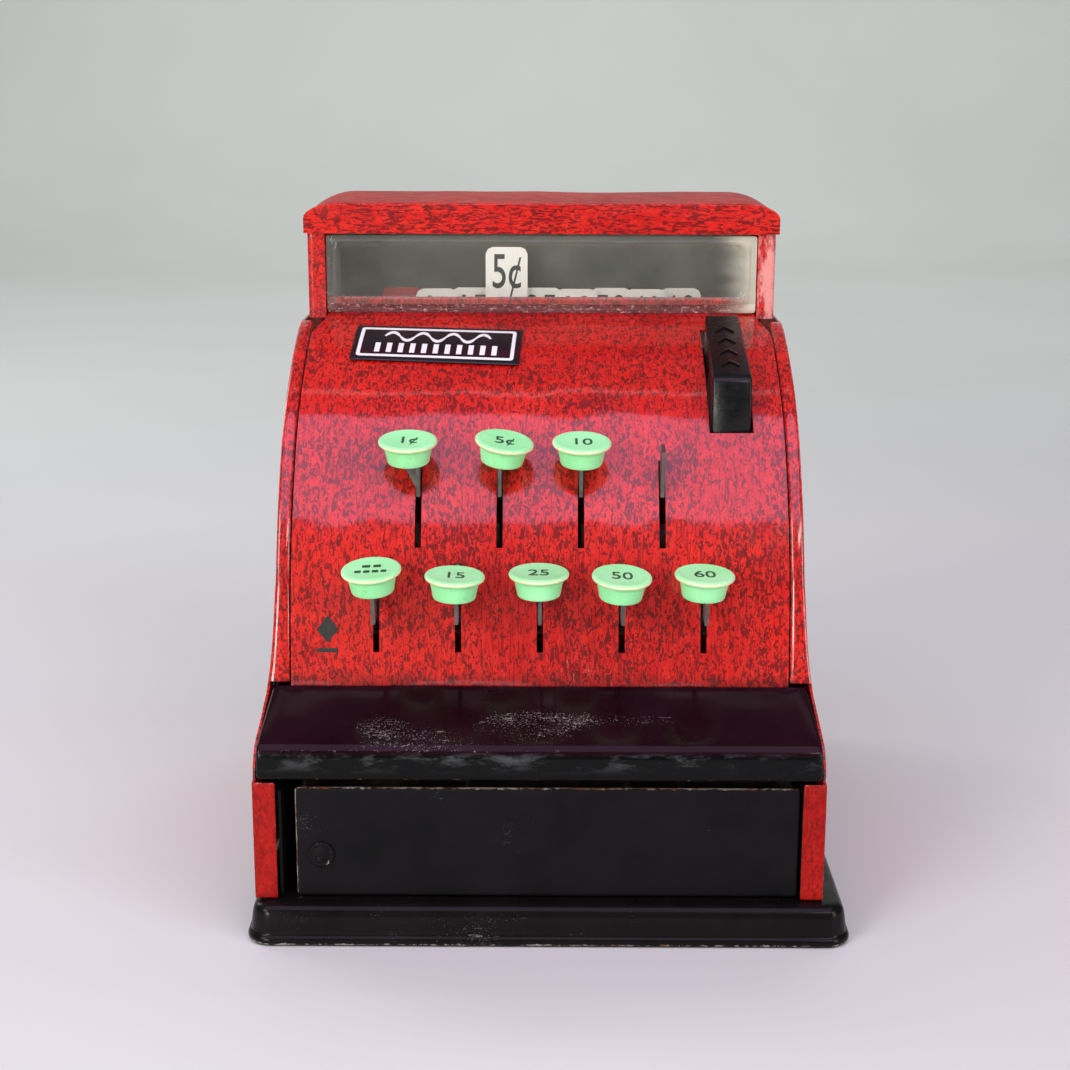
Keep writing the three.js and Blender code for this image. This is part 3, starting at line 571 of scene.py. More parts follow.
def clear_plastic(name):
    M = Mat(name)
    mm = M.mapping(M.coords("Object"), scale=(1000, 1000, 1000))
    n = M.noise(M.mapping(mm, scale=(0.06, 0.06, 0.09)), 1.0, 4, 0.6)
    dust = M.noise(M.mapping(mm, scale=(1.4, 1.4, 1.4), loc=(2, 2, 2)), 1.0, 5, 0.7)
    dm = M.step(dust, 0.60, 0.72)
    x, y, z = M.sep(mm)[0], M.sep(mm)[1], M.sep(mm)[2]
    # painted reflection: a pale, less clear patch towards the right end; thin scratches; darker, less clear ends and
    # top of the bead, and a reddish, less clear band along the bottom
    wob = M.math("MULTIPLY", M.math("SUBTRACT", M.noise(M.mapping(mm, scale=(0.05, 0.05, 0.16), loc=(7, 1, 3)), 1.0, 2, 0.4), 0.5), 12.0)
    right = M.step(M.math("ADD", x, wob), 47.0, 61.0)
    low = M.math("SUBTRACT", 1.0, M.step(z, 158.3, 158.9))
    edge = M.math("MAXIMUM", M.step(M.math("ABSOLUTE", M.math("ADD", x, 2.6)), 60.2, 62.2), M.math("MAXIMUM", low, M.step(z, 176.6, 177.8)))
    scr = M.noise(M.mapping(mm, scale=(0.10, 1.0, 1.8), rot=(0, 0.35, 0), loc=(2, 2, 6)), 1.0, 3, 0.6, 0.4)
    sm = M.step(scr, 0.69, 0.74)
    lw = M.n("ShaderNodeLayerWeight")
    lw.inputs["Blend"].default_value = 0.35
    a = M.math("ADD", 0.03, M.math("MULTIPLY", lw.outputs["Facing"], 0.35))
    a = M.math("ADD", a, M.math("MULTIPLY", n, 0.05))
    a = M.math("ADD", a, M.math("MULTIPLY", dm, 0.07))
    a = M.math("ADD", a, M.math("MULTIPLY", sm, 0.16))
    # the painted reflection at the right end also makes the sheet less clear there
    a = M.math("ADD", a, M.math("MULTIPLY", M.math("MULTIPLY", right, right), 0.46))
    a = M.math("ADD", a, M.math("MULTIPLY", low, 0.42))
    a = M.math("ADD", a, M.math("MULTIPLY", edge, 0.12), clamp=True)
    col = M.ramp(n, [(0.3, srgb(176, 184, 170)), (0.7, srgb(206, 208, 194))])
    col = M.mix(M.math("MULTIPLY", edge, 0.55), col, srgb(96, 96, 90))
    scuff = M.noise(M.mapping(mm, scale=(0.7, 0.7, 1.6), loc=(12, 2, 2)), 1.0, 4, 0.7)
    col = M.mix(low, col, M.ramp(scuff, [(0.40, srgb(104, 66, 68)), (0.58, srgb(132, 92, 92)), (0.66, srgb(214, 200, 196))]))
    # painted reflection: pale colour towards the right end
    col = M.mix(M.math("MULTIPLY", right, 0.75), col, srgb(232, 230, 206))
    M.set(Base_Color=col, Alpha=a, Roughness=M.remap(dust, 0.3, 0.7, 0.05, 0.16))
    M.bsdf.inputs["Specular IOR Level"].default_value = 0.45
    M.bsdf.inputs["Coat Weight"].default_value = 0.25
    M.bsdf.inputs["Coat Roughness"].default_value = 0.04
    M.set(Normal=M.bump(n, 0.35, 0.0012))
    return M.m


RED_PANEL = red_litho("red_litho_panel", streak=(1.0, 0.22), speck=0.7, low=6.0)
RED_SIDE = red_litho("red_litho_side", streak=(1.0, 0.25), speck=0.7)
RED_CAP = red_litho("red_litho_cap", streak=(0.30, 0.60), speck=0.45, coat=0.30, gloss=0.5)
# the plain red also carries the painted reflection on the right-hand post
RED_CAD = red_litho("red_litho_plain", streak=(0.9, 0.30), speck=0.6, use_uv=False, post_reflection=True, coat=0.45)
BLACK_LEDGE = black_enamel("black_enamel_ledge", gloss=0.16, use_uv=True, scr=1.5, base=(22, 1, 9), spec=0.05, coat=0.18, clusters=True)
BLACK_BASE = black_enamel("black_enamel_base", gloss=0.24, base=(8, 7, 7), spec=0.08, coat=0.14, scr=0.8)
BLACK_DRAWER = black_enamel("drawer_black_satin", gloss=0.42, base=(11, 11, 12), scr=0.5, coat=0.0, spec=0.10)
BLACK_RAIL = black_enamel("drawer_rail_black", gloss=0.5, base=(8, 8, 8), scr=0.3, coat=0.0, spec=0.2)
MINT = plastic("mint_plastic", (146, 236, 160), (170, 250, 184), rough=0.36, sss=0.15, grime=0.25, rim=(236, 236, 186))
PUSH = plastic("push_plastic", (8, 8, 9), (16, 16, 18), rough=0.26, grime=0.0, spec=0.28)
STEEL = metal("key_steel", (84, 82, 78), (132, 130, 124), rough=0.42, rust=0.5)
TIN = metal("bare_tin", (150, 148, 140), (184, 182, 172), rough=0.36, rust=0.25)
BRASS = metal("dull_brass", (150, 118, 62), (186, 150, 86), rough=0.34)
TAG = plastic("tag_white_paint", (236, 234, 226), (246, 245, 240), rough=0.5, grime=0.12)
TAG_RED = plastic("tag_red_paint", (150, 10, 18), (176, 18, 26), rough=0.5, grime=0.12)
GREY = plastic("backdrop_grey", (58, 62, 58), (80, 83, 79), rough=0.6, grime=0.2, spec=0.2)
INK = plastic("ink_black", (10, 12, 12), (22, 26, 24), rough=0.5)
INK_GREEN = plastic("ink_dark_green", (18, 60, 40), (34, 84, 58), rough=0.5)
INK_WHITE = plastic("ink_white", (226, 226, 222), (240, 240, 238), rough=0.45, grime=0.3)
PLATE = black_enamel("nameplate_black", gloss=0.24, base=(6, 10, 16), scr=0.4, spec=0.3, coat=0.4)
CLEAR = clear_plastic("clear_window_plastic")


def mat(ob, m):
    ob.data.materials.clear()
    ob.data.materials.append(m)
    return ob


def piece(ob, m, body, replaces=(), smooth_angle=34):
    if smooth_angle:
        smooth(ob, smooth_angle)
    mat(ob, m)
    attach(ob, body)
    if replaces:
        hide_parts(*replaces)
    return ob


# ------------------------------------------------------------------ curved front panel
FINE = catmull(PROFILE, 8)
UPTURN = [(107.6, 152.75), (108.6, 153.4), (109.0, 154.4), (109.0, 157.2)]


def angle_of(p):
    return math.degrees(math.atan2(p[1] - PIVOT[1], PIVOT[0] - p[0]))


def build_front_panel():
    line = [(26.6, 58.4)] + FINE
    # rows break exactly at the slot ends and the push opening
    cuts = []
    for a in (*UPPER["slot"], *LOWER["slot"]):
        for i in range(1, len(line) - 1):
            a0, a1 = angle_of(line[i]), angle_of(line[i + 1])
            if a0 <= a < a1:
                t = (a - a0) / (a1 - a0)
                cuts.append((line[i][0] + t * (line[i + 1][0] - line[i][0]), line[i][1] + t * (line[i + 1][1] - line[i][1])))
    for y in (54.4, 95.6):
        for i in range(len(line) - 1):
            if line[i][0] <= y < line[i + 1][0]:
                t = (y - line[i][0]) / (line[i + 1][0] - line[i][0])
                cuts.append((y, line[i][1] + t * (line[i + 1][1] - line[i][1])))
    line = sorted(line + cuts, key=lambda p: p[0] * 1.0 + p[1] * 1.0)
    clean = [line[0]]
    for p in line[1:]:
        if math.hypot(p[0] - clean[-1][0], p[1] - clean[-1][1]) > 0.05:
            clean.append(p)
        elif p in cuts:
            clean[-1] = p
    line = clean + UPTURN
    S = arclen(line)
    NN = normals2(line)
    xs = set()
    x = -67.6
    while x <= 67.61:
        xs.add(round(x, 3))
        x += 67.6 / 26
    slots = []
    for k, up, kx, tl in KEYS:
        slots.append((kx - 0.85, kx + 0.85, *(UPPER["slot"] if up else LOWER["slot"])))
        xs = {v for v in xs if not (kx - 1.25 < v < kx + 1.25)}
        xs |= {round(kx - 0.85, 3), round(kx + 0.85, 3), round(kx, 3)}
    xs = {v for v in xs if not (abs(v - 46.9) < 0.5 or abs(v - 59.1) < 0.5)} | {46.9, 59.1}
    xs = sorted(xs)
    rows, uv = [], []
    for i, (y, z) in enumerate(line):
        hw = interp([(93, 67.6), (103.5, 64.2)], y)
        r, u = [], []
        for x in xs:
            xx = x
            if abs(x) > 61:
                xx = math.copysign(61 + (abs(x) - 61) * (hw - 61) / 6.6, x)
            d = 0.0
            if 61.9 < z < 150:
                d = dent(x, y, z, 0.035, 0.16) + dent(x, y, z, 0.11, 0.05, 9.1)
                d *= min(1.0, (67.7 - abs(x)) / 4.0)
            r.append(W(xx, y + NN[i][0] * d, z + NN[i][1] * d))
            u.append((x, S[i]))
        rows.append(r)
        uv.append(u)
    ang = [angle_of(p) for p in line]

    def skip(i, j):
        am = 0.5 * (ang[i] + ang[i + 1])
        xm = 0.5 * (xs[j] + xs[j + 1])
        for a, b, lo, hi in slots:
            if a < xm < b and lo < am < hi and line[i][1] > 62:
                return True
        ym = 0.5 * (line[i][0] + line[i + 1][0])
        return 46.9 < xm < 59.1 and 54.4 < ym < 95.6

    ob = grid("front_panel_skin", rows, uv, skip=skip)
    solidify(ob, 0.8, -1.0)
    m = ob.modifiers.new("edges", "BEVEL")
    m.width = 0.12 * MM
    m.segments = 1
    m.limit_method = "ANGLE"
    m.angle_limit = math.radians(50)
    apply(ob)
    bm = bmesh.new(); bm.from_mesh(ob.data); bmesh.ops.dissolve_degenerate(bm, dist=1e-6, edges=bm.edges); bm.to_mesh(ob.data); bm.free()

    def wear_and_highlight(x, y, z):
        a = math.degrees(math.atan2(z - PIVOT[1], PIVOT[0] - y))
        w = 0.0
        for s0, s1, lo, hi in slots:
            # painted highlight: paler edges round the slots
            if s0 - 0.5 < x < s1 + 0.5 and lo - 0.5 < a < hi + 0.5:
                w = max(w, 0.42)
        w = max(w, 0.50 * max(0, 1 - abs(67.6 - abs(x)) / 1.2))
        if z > 152.2:
            w = max(w, 0.3)
        return w
    paint_wear_and_painted_light(ob, wear_and_highlight)
    return piece(ob, RED_PANEL, "case", ["front_panel"])


build_front_panel()


# ------------------------------------------------------------------ side panels
def smooth_flare(z):
    pts = catmull([(a, b) for a, b in FLARE], 6)
    return interp(pts, z)


FLARE_F = catmull([(a, b) for a, b in FLARE], 6)
RIM = [p for p in catmull(PROFILE[:19], 6) if p[1] >= 62.3]


def build_side(side, name):
    rn = normals2(RIM)
    outer = [(p[0] + n[0] * 0.35, p[1] + n[1] * 0.35) for p, n in zip(RIM, rn)]
    front = [(8.4, 41.2), (8.4, 50.2), (26.0, 59.4), (26.7, 62.3)] + outer + [(103.8, 150.8)]
    fz = sorted([(z, y) for y, z in front])
    zs = [8.3 + (41 - 8.3) * i / 10 for i in range(11)] + [41.2] + [41.2 + (150.8 - 41.2) * i / 90 for i in range(1, 91)]
    rows, uv = [], []
    for z in zs:
        y0 = 6.3 if z <= 41.0 else interp(fz, z)
        x = interp(FLARE_F, z)
        r, u = [], []
        for j in range(25):
            t = j / 24
            t = t ** 1.25
            y = y0 + (171 - y0) * t
            edge = min(1.0, (y - y0) / 8, (171 - y) / 6, (z - 8.3) / 8, (150.8 - z) / 6)
            b = (dent(y, z, side * 7, 0.022, 0.5) + dent(y, z, side * 3, 0.07, 0.12)) * max(0, edge)
            r.append(W(side * (x + b - 0.15 * max(0, edge)), y, z))
            u.append((y, z))
        rows.append(r)
        uv.append(u)
    sheet = grid(name + "_sheet", rows, uv)
    fix_normals(sheet)
    # normals must face outwards
    if sheet.data.polygons[5].normal.x * side < 0:
        sheet.data.flip_normals()
    solidify(sheet, 0.8, -1.0)
    bevel(sheet, 0.15, 1, 50, False)
    apply(sheet)
    # folded rim: swept section, x outwards, n off the panel surface
    sec = [(71.0, -2.2), (71.62, -1.6), (71.68, -0.6), (71.66, -0.1), (71.5, 0.3), (71.15, 0.55), (70.6, 0.66), (69.8, 0.68), (69.0, 0.64),
           (68.45, 0.52), (68.1, 0.25), (67.97, -0.15), (67.95, -1.3), (68.45, -1.3), (68.5, -0.3), (68.8, 0.02), (69.8, 0.12), (70.6, 0.1), (71.0, -0.3), (71.0, -1.2)]
    line = RIM[:]
    nn = normals2(line)
    S = arclen(line)
    rings = []
    uvr = []
    for i, (y, z) in enumerate(line):
        # rounded ends
        e = 1.0
        s_end = S[-1] - S[i]
        drop = 0.0
        if s_end < 2.0:
            drop = 1.3 * (1 - math.sqrt(max(0, 1 - (1 - s_end / 2.0) ** 2)))
        fl = interp(FLARE_F, z) - 71.65
        ring = []
        for q, (sx, sn) in enumerate(sec):
            xx = sx + fl * max(0, min(1, (sx - 68) / 3.5))
            n_ = (sn - (drop if sn > -1.0 else 0)) + dent(y, z, side * 5 + sx, 0.05, 0.10)
            ring.append(W(side * xx, y + nn[i][0] * n_, z + nn[i][1] * n_))
        rings.append(ring)
    rim = loft(name + "_rim", rings)
    lay = rim.data.uv_layers.new(name="UVMap")
    nsec = len(sec)
    for poly in rim.data.polygons:
        for li in poly.loop_indices:
            vi = rim.data.loops[li].vertex_index
            lay.data[li].uv = (sec[vi % nsec][0], S[vi // nsec] + 3)
    # front strip beside the drawer: a folded flange
    x0, x1 = 70.0, 76.0
    pts = rrect(x0, x1, 8.3, 41.0, 0.5, 3, 8)
    depth = [(0.35, 7.1), (0.0, 6.9), (0.0, 6.45), (0.3, 6.2), (1.1, 6.18)]
    rings = []
    for ins, y in depth:
        rr = rrect(x0 + ins, x1 - ins, 8.3 + ins, 41.0 - ins, 0.5, 3, 8)
        rings.append([W(side * a, y + dent(a, b, side, 0.08, 0.12), b) for a, b in rr])
    strip = loft(name + "_strip", rings)
    lay = strip.data.uv_layers.new(name="UVMap")
    for poly in strip.data.polygons:
        for li in poly.loop_indices:
            co = strip.data.vertices[strip.data.loops[li].vertex_index].co
            lay.data[li].uv = (co.x / MM, co.z / MM)
    ob = join(name + "_skin", sheet, rim, strip)

    def wear_and_highlight(x, y, z):
        ax = abs(x)
        w = 0.0
        if z > 62.5:
            w = max(w, 0.60 * max(0, 1 - abs(ax - 71.5) / 0.6) if y < 105 else 0)
            if ax < 68.4:
                w = max(w, 0.5)
        if z < 41.3 and y < 7.6:
            w = max(w, 0.56 * max(0, 1 - abs(ax - 76) / 0.7), 0.5 * max(0, 1 - abs(ax - 70) / 0.6), 0.55 * max(0, 1 - abs(z - 41) / 1.2))
        if y > 169.5 or abs(z - 150.8) < 0.7:
            w = max(w, 0.5)
        return w
    paint_wear_and_painted_light(ob, wear_and_highlight)
    # painted shade: darker, less glossy strips beside the drawer, under the ledge lip
    paint_wear_and_painted_light(ob, lambda x, y, z: 0.42 if z < 41.5 and y < 8 else 0.0, "shade")
    return piece(ob, RED_SIDE, "case", [name])


build_side(-1, "left_side_panel")
build_side(1, "right_side_panel")


# ------------------------------------------------------------------ ledge
def build_ledge():
    base = [(8.8, 42.0), (7.2, 41.95), (6.3, 42.15), (5.8, 42.7), (5.6, 43.6), (5.58, 45.6), (5.62, 47.4), (5.85, 48.9), (6.4, 50.2), (7.3, 51.2), (8.5, 51.95), (10.5, 53.05)]
    a, b = base[-1], (26.2, 61.5)
    line = catmull(base, 4) + [(a[0] + (b[0] - a[0]) * i / 16, a[1] + (b[1] - a[1]) * i / 16) for i in range(1, 17)]
    nn = normals2(line)
    S = arclen(line)
    cols = [(-1, -3.4), (-1, -1.4), (-1, -0.7), (-0.9975, -0.3), (-0.993, -0.08), (-0.986, 0)]
    cols += [(-0.986 + 1.972 * i / 52, 0) for i in range(1, 52)]
    cols += [(0.986, 0), (0.993, -0.08), (0.9975, -0.3), (1, -0.7), (1, -1.4), (1, -3.4)]
    rows, uv = [], []
    for i, (y, z) in enumerate(line):
        hw = interp([(5.6, 74.6), (9.5, 74.5), (27, 72.3)], y)
        r, u = [], []
        for c, n_ in cols:
            d = n_
            if abs(c) < 0.985:
                d += (dent(c * 74, y, z, 0.03, 0.35, 2.0) + dent(c * 74, y, z, 0.12, 0.06, 4.0)) * min(1, (0.985 - abs(c)) * 12)
            r.append(W(c * hw, y + nn[i][0] * d, z + nn[i][1] * d))
            u.append((c * 74.5 + (n_ if c > 0 else -n_), S[i]))
        rows.append(r)
        uv.append(u)
    ob = grid("ledge_cover_skin", rows, uv)
    solidify(ob, 0.8, -1.0).use_even_offset = False
    bevel(ob, 0.15, 1, 50, False)
    apply(ob)

    def wear_and_highlight(x, y, z):
        w = 0.0
        if y < 8.6:
            w = (0.56 if -68 < x < 6 else 0.44) * max(0, 1 - abs(z - 50.2) / 2.2)
            w = max(w, 0.54 * max(0, 1 - abs(z - 42.4) / 0.9))
        w = max(w, 0.46 * max(0, 1 - (74.6 - abs(x)) / 1.3) if y < 12 else 0)
        if y > 24.5:
            w = max(w, 0.2)
        return w
    paint_wear_and_painted_light(ob, wear_and_highlight)

    def scratch(x, y, z):
        g = lambda cx, cz, sx, sz: math.exp(-((x - cx) / sx) ** 2 - ((z - cz) / sz) ** 2)
        zz = (zt + 50.2) / 2
        zz -= 1.2
        return min(0.84, 1.1 * g(-42, zz, 9, 2.8) + g(-24, zz - 2, 12, 2.0) + 1.1 * g(-5, zz, 17, 3.6) + 0.75 * g(30, zz + 1, 26, 2.2)
                   + 0.55 * (1 if z < 52.0 else 0) * g(-30, 50.5, 34, 2.2))
    zt = max(v.co.z for v in ob.data.vertices) / MM - ZS
    paint_wear_and_painted_light(ob, scratch, "scratch")
    return piece(ob, BLACK_LEDGE, "case", ["ledge_cover"], 40)


build_ledge()


# ------------------------------------------------------------------ base pan
def build_base():
    lo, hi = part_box("base_pan")
    x0, x1, y0, y1 = lo.x / MM, hi.x / MM, lo.y / MM, hi.y / MM
    prof = [(18, 11.0), (7.0, 11.0), (5.2, 10.98), (4.2, 10.88), (3.3, 10.62), (2.6, 10.2), (2.1, 9.6), (1.75, 8.8), (1.5, 7.6), (1.28, 6.0), (1.12, 4.4), (1.0, 3.3), (0.86, 2.85), (0.5, 2.6),
            (0.18, 2.2), (0.03, 1.7), (0.02, 1.3), (0.12, 0.85), (0.4, 0.4), (0.8, 0.08), (1.3, 0.0), (3.4, 0.0), (4.0, 0.35), (4.15, 1.2), (4.25, 9.4), (5.2, 9.8), (18, 9.8)]
    rings = []
    for ins, z in prof:
        r = max(7.0 - ins, 1.0)
        ring = []
        for a, b in rrect(x0 + ins, x1 - ins, y0 + ins, y1 - ins, r, 10, 22):
            d = dent(a, b, z, 0.03, 0.45, 7.0) * (1 if 0.2 < z < 10.5 else 0.0)
            e = max(0.0, 1 - ins / 2.0)
            ring.append(Vector(((a - math.copysign(abs(d) * e, a) * 0.5) * MM, (b - math.copysign(abs(d) * e, b) * 0.5) * MM, z * MM)))
        rings.append(ring)
    ob = loft("base_pan_skin", rings)

    def wear_and_highlight(x, y, z):
        return max(0.68 * max(0, 1 - abs(z + 2.2) / 1.5), 0.50 * max(0, 1 - abs(z - 7.3) / 0.8), 0.46 * max(0, 1 - abs(z + 0.4) / 0.8), 0.25 if z > 7.5 else 0)
    paint_wear_and_painted_light(ob, wear_and_highlight)
    return piece(ob, BLACK_BASE, "case", ["base_pan"], 40)


build_base()


# ------------------------------------------------------------------ head lid
CREASE = (70.75, 185.1, 10.0, 4.2)


def build_cap():
    z0 = 176.5
    y0, y1 = 104.7, 172.0
    FR = (0.0, 0.05, 0.14, 0.3, 0.5, 0.7, 0.86, 0.95, 1.0)

    def arch(w, top, rx, rz):
        zs = top - rz
        pts = [(-w, zs + (z0 - zs) * f) for f in FR[:0:-1]]
        for i in range(0, 15):
            a = PI - (PI / 2) * i / 14
            pts.append((-w + rx + rx * math.cos(a), zs + rz * math.sin(a)))
        for i in range(1, 36):
            pts.append((-w + rx + (2 * w - 2 * rx) * i / 36, top))
        for i in range(0, 15):
            a = PI / 2 - (PI / 2) * i / 14
            pts.append((w - rx + rx * math.cos(a), zs + rz * math.sin(a)))
        return pts + [(w, zs + (z0 - zs) * f) for f in FR[1:]]
    table = [(0.0, 70.75, 185.1, 10.0, 4.2), (0.004, 70.75, 185.3, 10.2, 4.5), (0.012, 70.76, 185.45, 10.4, 4.9), (0.03, 70.77, 185.58, 10.6, 5.3), (0.06, 70.78, 185.7, 10.8, 5.7),
             (0.12, 70.78, 185.85, 11, 6.0), (0.22, 70.78, 186.0, 11, 6.2), (0.34, 70.78, 186.07, 11, 6.2), (0.46, 70.78, 186.07, 11, 6.2), (0.58, 70.78, 186.0, 11, 6.2),
             (0.70, 70.78, 185.8, 11, 6.2), (0.80, 70.78, 185.5, 11, 6.1), (0.88, 70.78, 185.1, 11, 6.0), (0.94, 70.78, 184.6, 10.8, 5.7), (0.975, 70.77, 184.1, 10.5, 5.2),
             (0.993, 70.76, 183.6, 10.2, 4.8), (1.0, 70.75, 183.3, 10.0, 4.4)]
    rows, uv = [], []
    for t, w, top, rx, rz in table:
        y = y0 + (y1 - y0) * t
        ar = arch(w, top, rx, rz)
        S = arclen(ar)
        r, u = [], []
        for q, (x, z) in enumerate(ar):
            k = max(0.0, (z - 179.5) / (top - 179.5)) * min(1, t * 12, (1 - t) * 12)
            sag = -abs(dent(x, y, 0, 0.028, 0.7, 5.0)) * k
            side = dent(y, z, 3, 0.05, 0.18, 2.0) * (1 if abs(x) > 70.5 else 0) * min(1, t * 12, (1 - t) * 12)
            r.append(W(x - math.copysign(abs(side), x), y, z + sag))
            u.append((S[q], y))
        rows.append(r)
        uv.append(u)
    ob = grid("lid_top", rows, uv)
    parts = [ob]
    n0 = len(FR) - 1
    for face, (y, src) in enumerate(((y0, rows[0]), (y1, rows[-1]))):
        cols = src[n0 - 0:len(src) - n0]
        fr, fu = [], []
        for f in FR:
            r, u = [], []
            for p in cols:
                px, pz = p.x / MM - XS, p.z / MM - ZS
                zz = pz + (z0 - pz) * f
                e = min(1.0, (70.75 - abs(px)) / 3)
                bulge = (-0.16 * math.sin(PI * f) * abs(noise.noise(Vector((px * 0.05, f, face + 0.3)))) * 2) * max(0, e)
                r.append(W(px, y + (-bulge if face == 0 else bulge), zz))
                u.append((px, zz))
            fr.append(r)
            fu.append(u)
        parts.append(grid("lid_face%d" % face, fr, fu))
    ob = join("lid", *parts)
    bm = bmesh.new()
    bm.from_mesh(ob.data)
    bmesh.ops.remove_doubles(bm, verts=bm.verts, dist=0.004 * MM)
    bmesh.ops.recalc_face_normals(bm, faces=bm.faces)
    bm.to_mesh(ob.data)
    bm.free()
    if sum(p.normal.z * p.area for p in ob.data.polygons) < 0:
        ob.data.flip_normals()
    m = ob.modifiers.new("crease", "BEVEL")
    m.width = 0.4 * MM
    m.segments = 3
    m.limit_method = "ANGLE"
    m.angle_limit = math.radians(42)
    solidify(ob, 0.55, -1.0).use_even_offset = False
    apply(ob)

    def wear_and_highlight(x, y, z):
        w_ = 0.0
        if y < 106.2 and z > 177:
            ax = abs(x)
            ze = 185.1 if ax < 60.75 else 180.9 + 4.2 * math.sqrt(max(0, 1 - ((ax - 60.75) / 10.0) ** 2))
            w_ = max(w_, 0.56 * max(0, 1 - abs(z - ze) / 0.75))
        if z < 177.2:
            w_ = max(w_, 0.5 * max(0, 1 - abs(z - 176.5) / 0.5))
        if abs(x) > 68 and z > 177:
            w_ = max(w_, 0.36)
        if z > 184.5 and y > 106.2:
            w_ = max(w_, 0.22)
        return w_
    paint_wear_and_painted_light(ob, wear_and_highlight)
    paint_wear_and_painted_light(ob, lambda x, y, z: 0.30 if z > 184.6 and y > 105.6 else 0.0, "shade")
    return piece(ob, RED_CAP, "case", ["head_cap"], 50)


build_cap()


# ------------------------------------------------------------------ window: formed sheet with a raised bead
def build_window():
    w, zb, zt = 64.3, 152.9, 175.9
    prof = [(0, 0, 0, 106.6), (0, 0, 0, 106.1), (0.15, 0.15, 0.15, 105.95), (1.0, 1.2, 0.5, 105.92), (1.5, 1.8, 0.8, 105.85), (1.95, 2.4, 1.05, 105.5),
            (2.3, 2.8, 1.3, 105.1), (2.7, 3.25, 1.6, 104.92), (3.2, 3.8, 2.1, 104.9), (3.6, 4.2, 2.5, 105.05), (3.95, 4.55, 2.85, 105.45), (4.25, 4.85, 3.15, 105.85),
            (4.7, 5.3, 3.6, 106.0), (6.5, 7.0, 5.2, 106.02)]
    rings = []
    for s, b, t, y in prof:
        r = max(1.0, 2.6 - abs(s - 2.7) * 0.25) if s > 1.2 else 1.0
        ring = []
        for a, z in rrect(-w + s, w - s, zb + b, zt - t, r, 8, 14):
            ring.append(W(a, y + dent(a, z, y, 0.05, 0.10, 3.0), z))
        rings.append(ring)
    ob = loft("window_skin", rings, cap_first=False, cap_last=True)
    n = sum(p.normal.y * p.area for p in ob.data.polygons)
    if n > 0:
        ob.data.flip_normals()
    solidify(ob, 0.35, -1.0).use_even_offset = False
    apply(ob)
    return piece(ob, CLEAR, "case", ["window"], 60)


build_window()


# ------------------------------------------------------------------ key caps and their numerals
def text_mesh(name, body, size, depth=0.06, bold=0.0, squash_x=1.0):
    cu = bpy.data.curves.new(name, "FONT")
    cu.body = body
    cu.size = size * MM
    cu.align_x = "CENTER"
    cu.align_y = "CENTER"
    cu.extrude = depth * MM
    cu.offset = bold * MM
    cu.resolution_u = 4
    ob = bpy.data.objects.new(name, cu)
    scene.collection.objects.link(ob)
    dg = bpy.context.evaluated_depsgraph_get()
    me = bpy.data.meshes.new_from_object(ob.evaluated_get(dg))
    bpy.data.objects.remove(ob)
    me.name = name
    o2 = bpy.data.objects.new(name, me)
    scene.collection.objects.link(o2)
    if squash_x != 1.0:
        me.transform(Matrix.Diagonal((squash_x, 1, 1, 1)))
    return o2


def bar_mesh(name, rects, depth=0.08):
    verts, faces = [], []
    for x0, x1, y0, y1 in rects:
        b = len(verts)
        for z in (-depth, depth):
            verts += [(x0 * MM, y0 * MM, z * MM), (x1 * MM, y0 * MM, z * MM), (x1 * MM, y1 * MM, z * MM), (x0 * MM, y1 * MM, z * MM)]
        faces += [(b, b + 3, b + 2, b + 1), (b + 4, b + 5, b + 6, b + 7), (b, b + 1, b + 5, b + 4), (b + 1, b + 2, b + 6, b + 5), (b + 2, b + 3, b + 7, b + 6), (b + 3, b, b + 4, b + 7)]
    return new_obj(name, verts, faces)


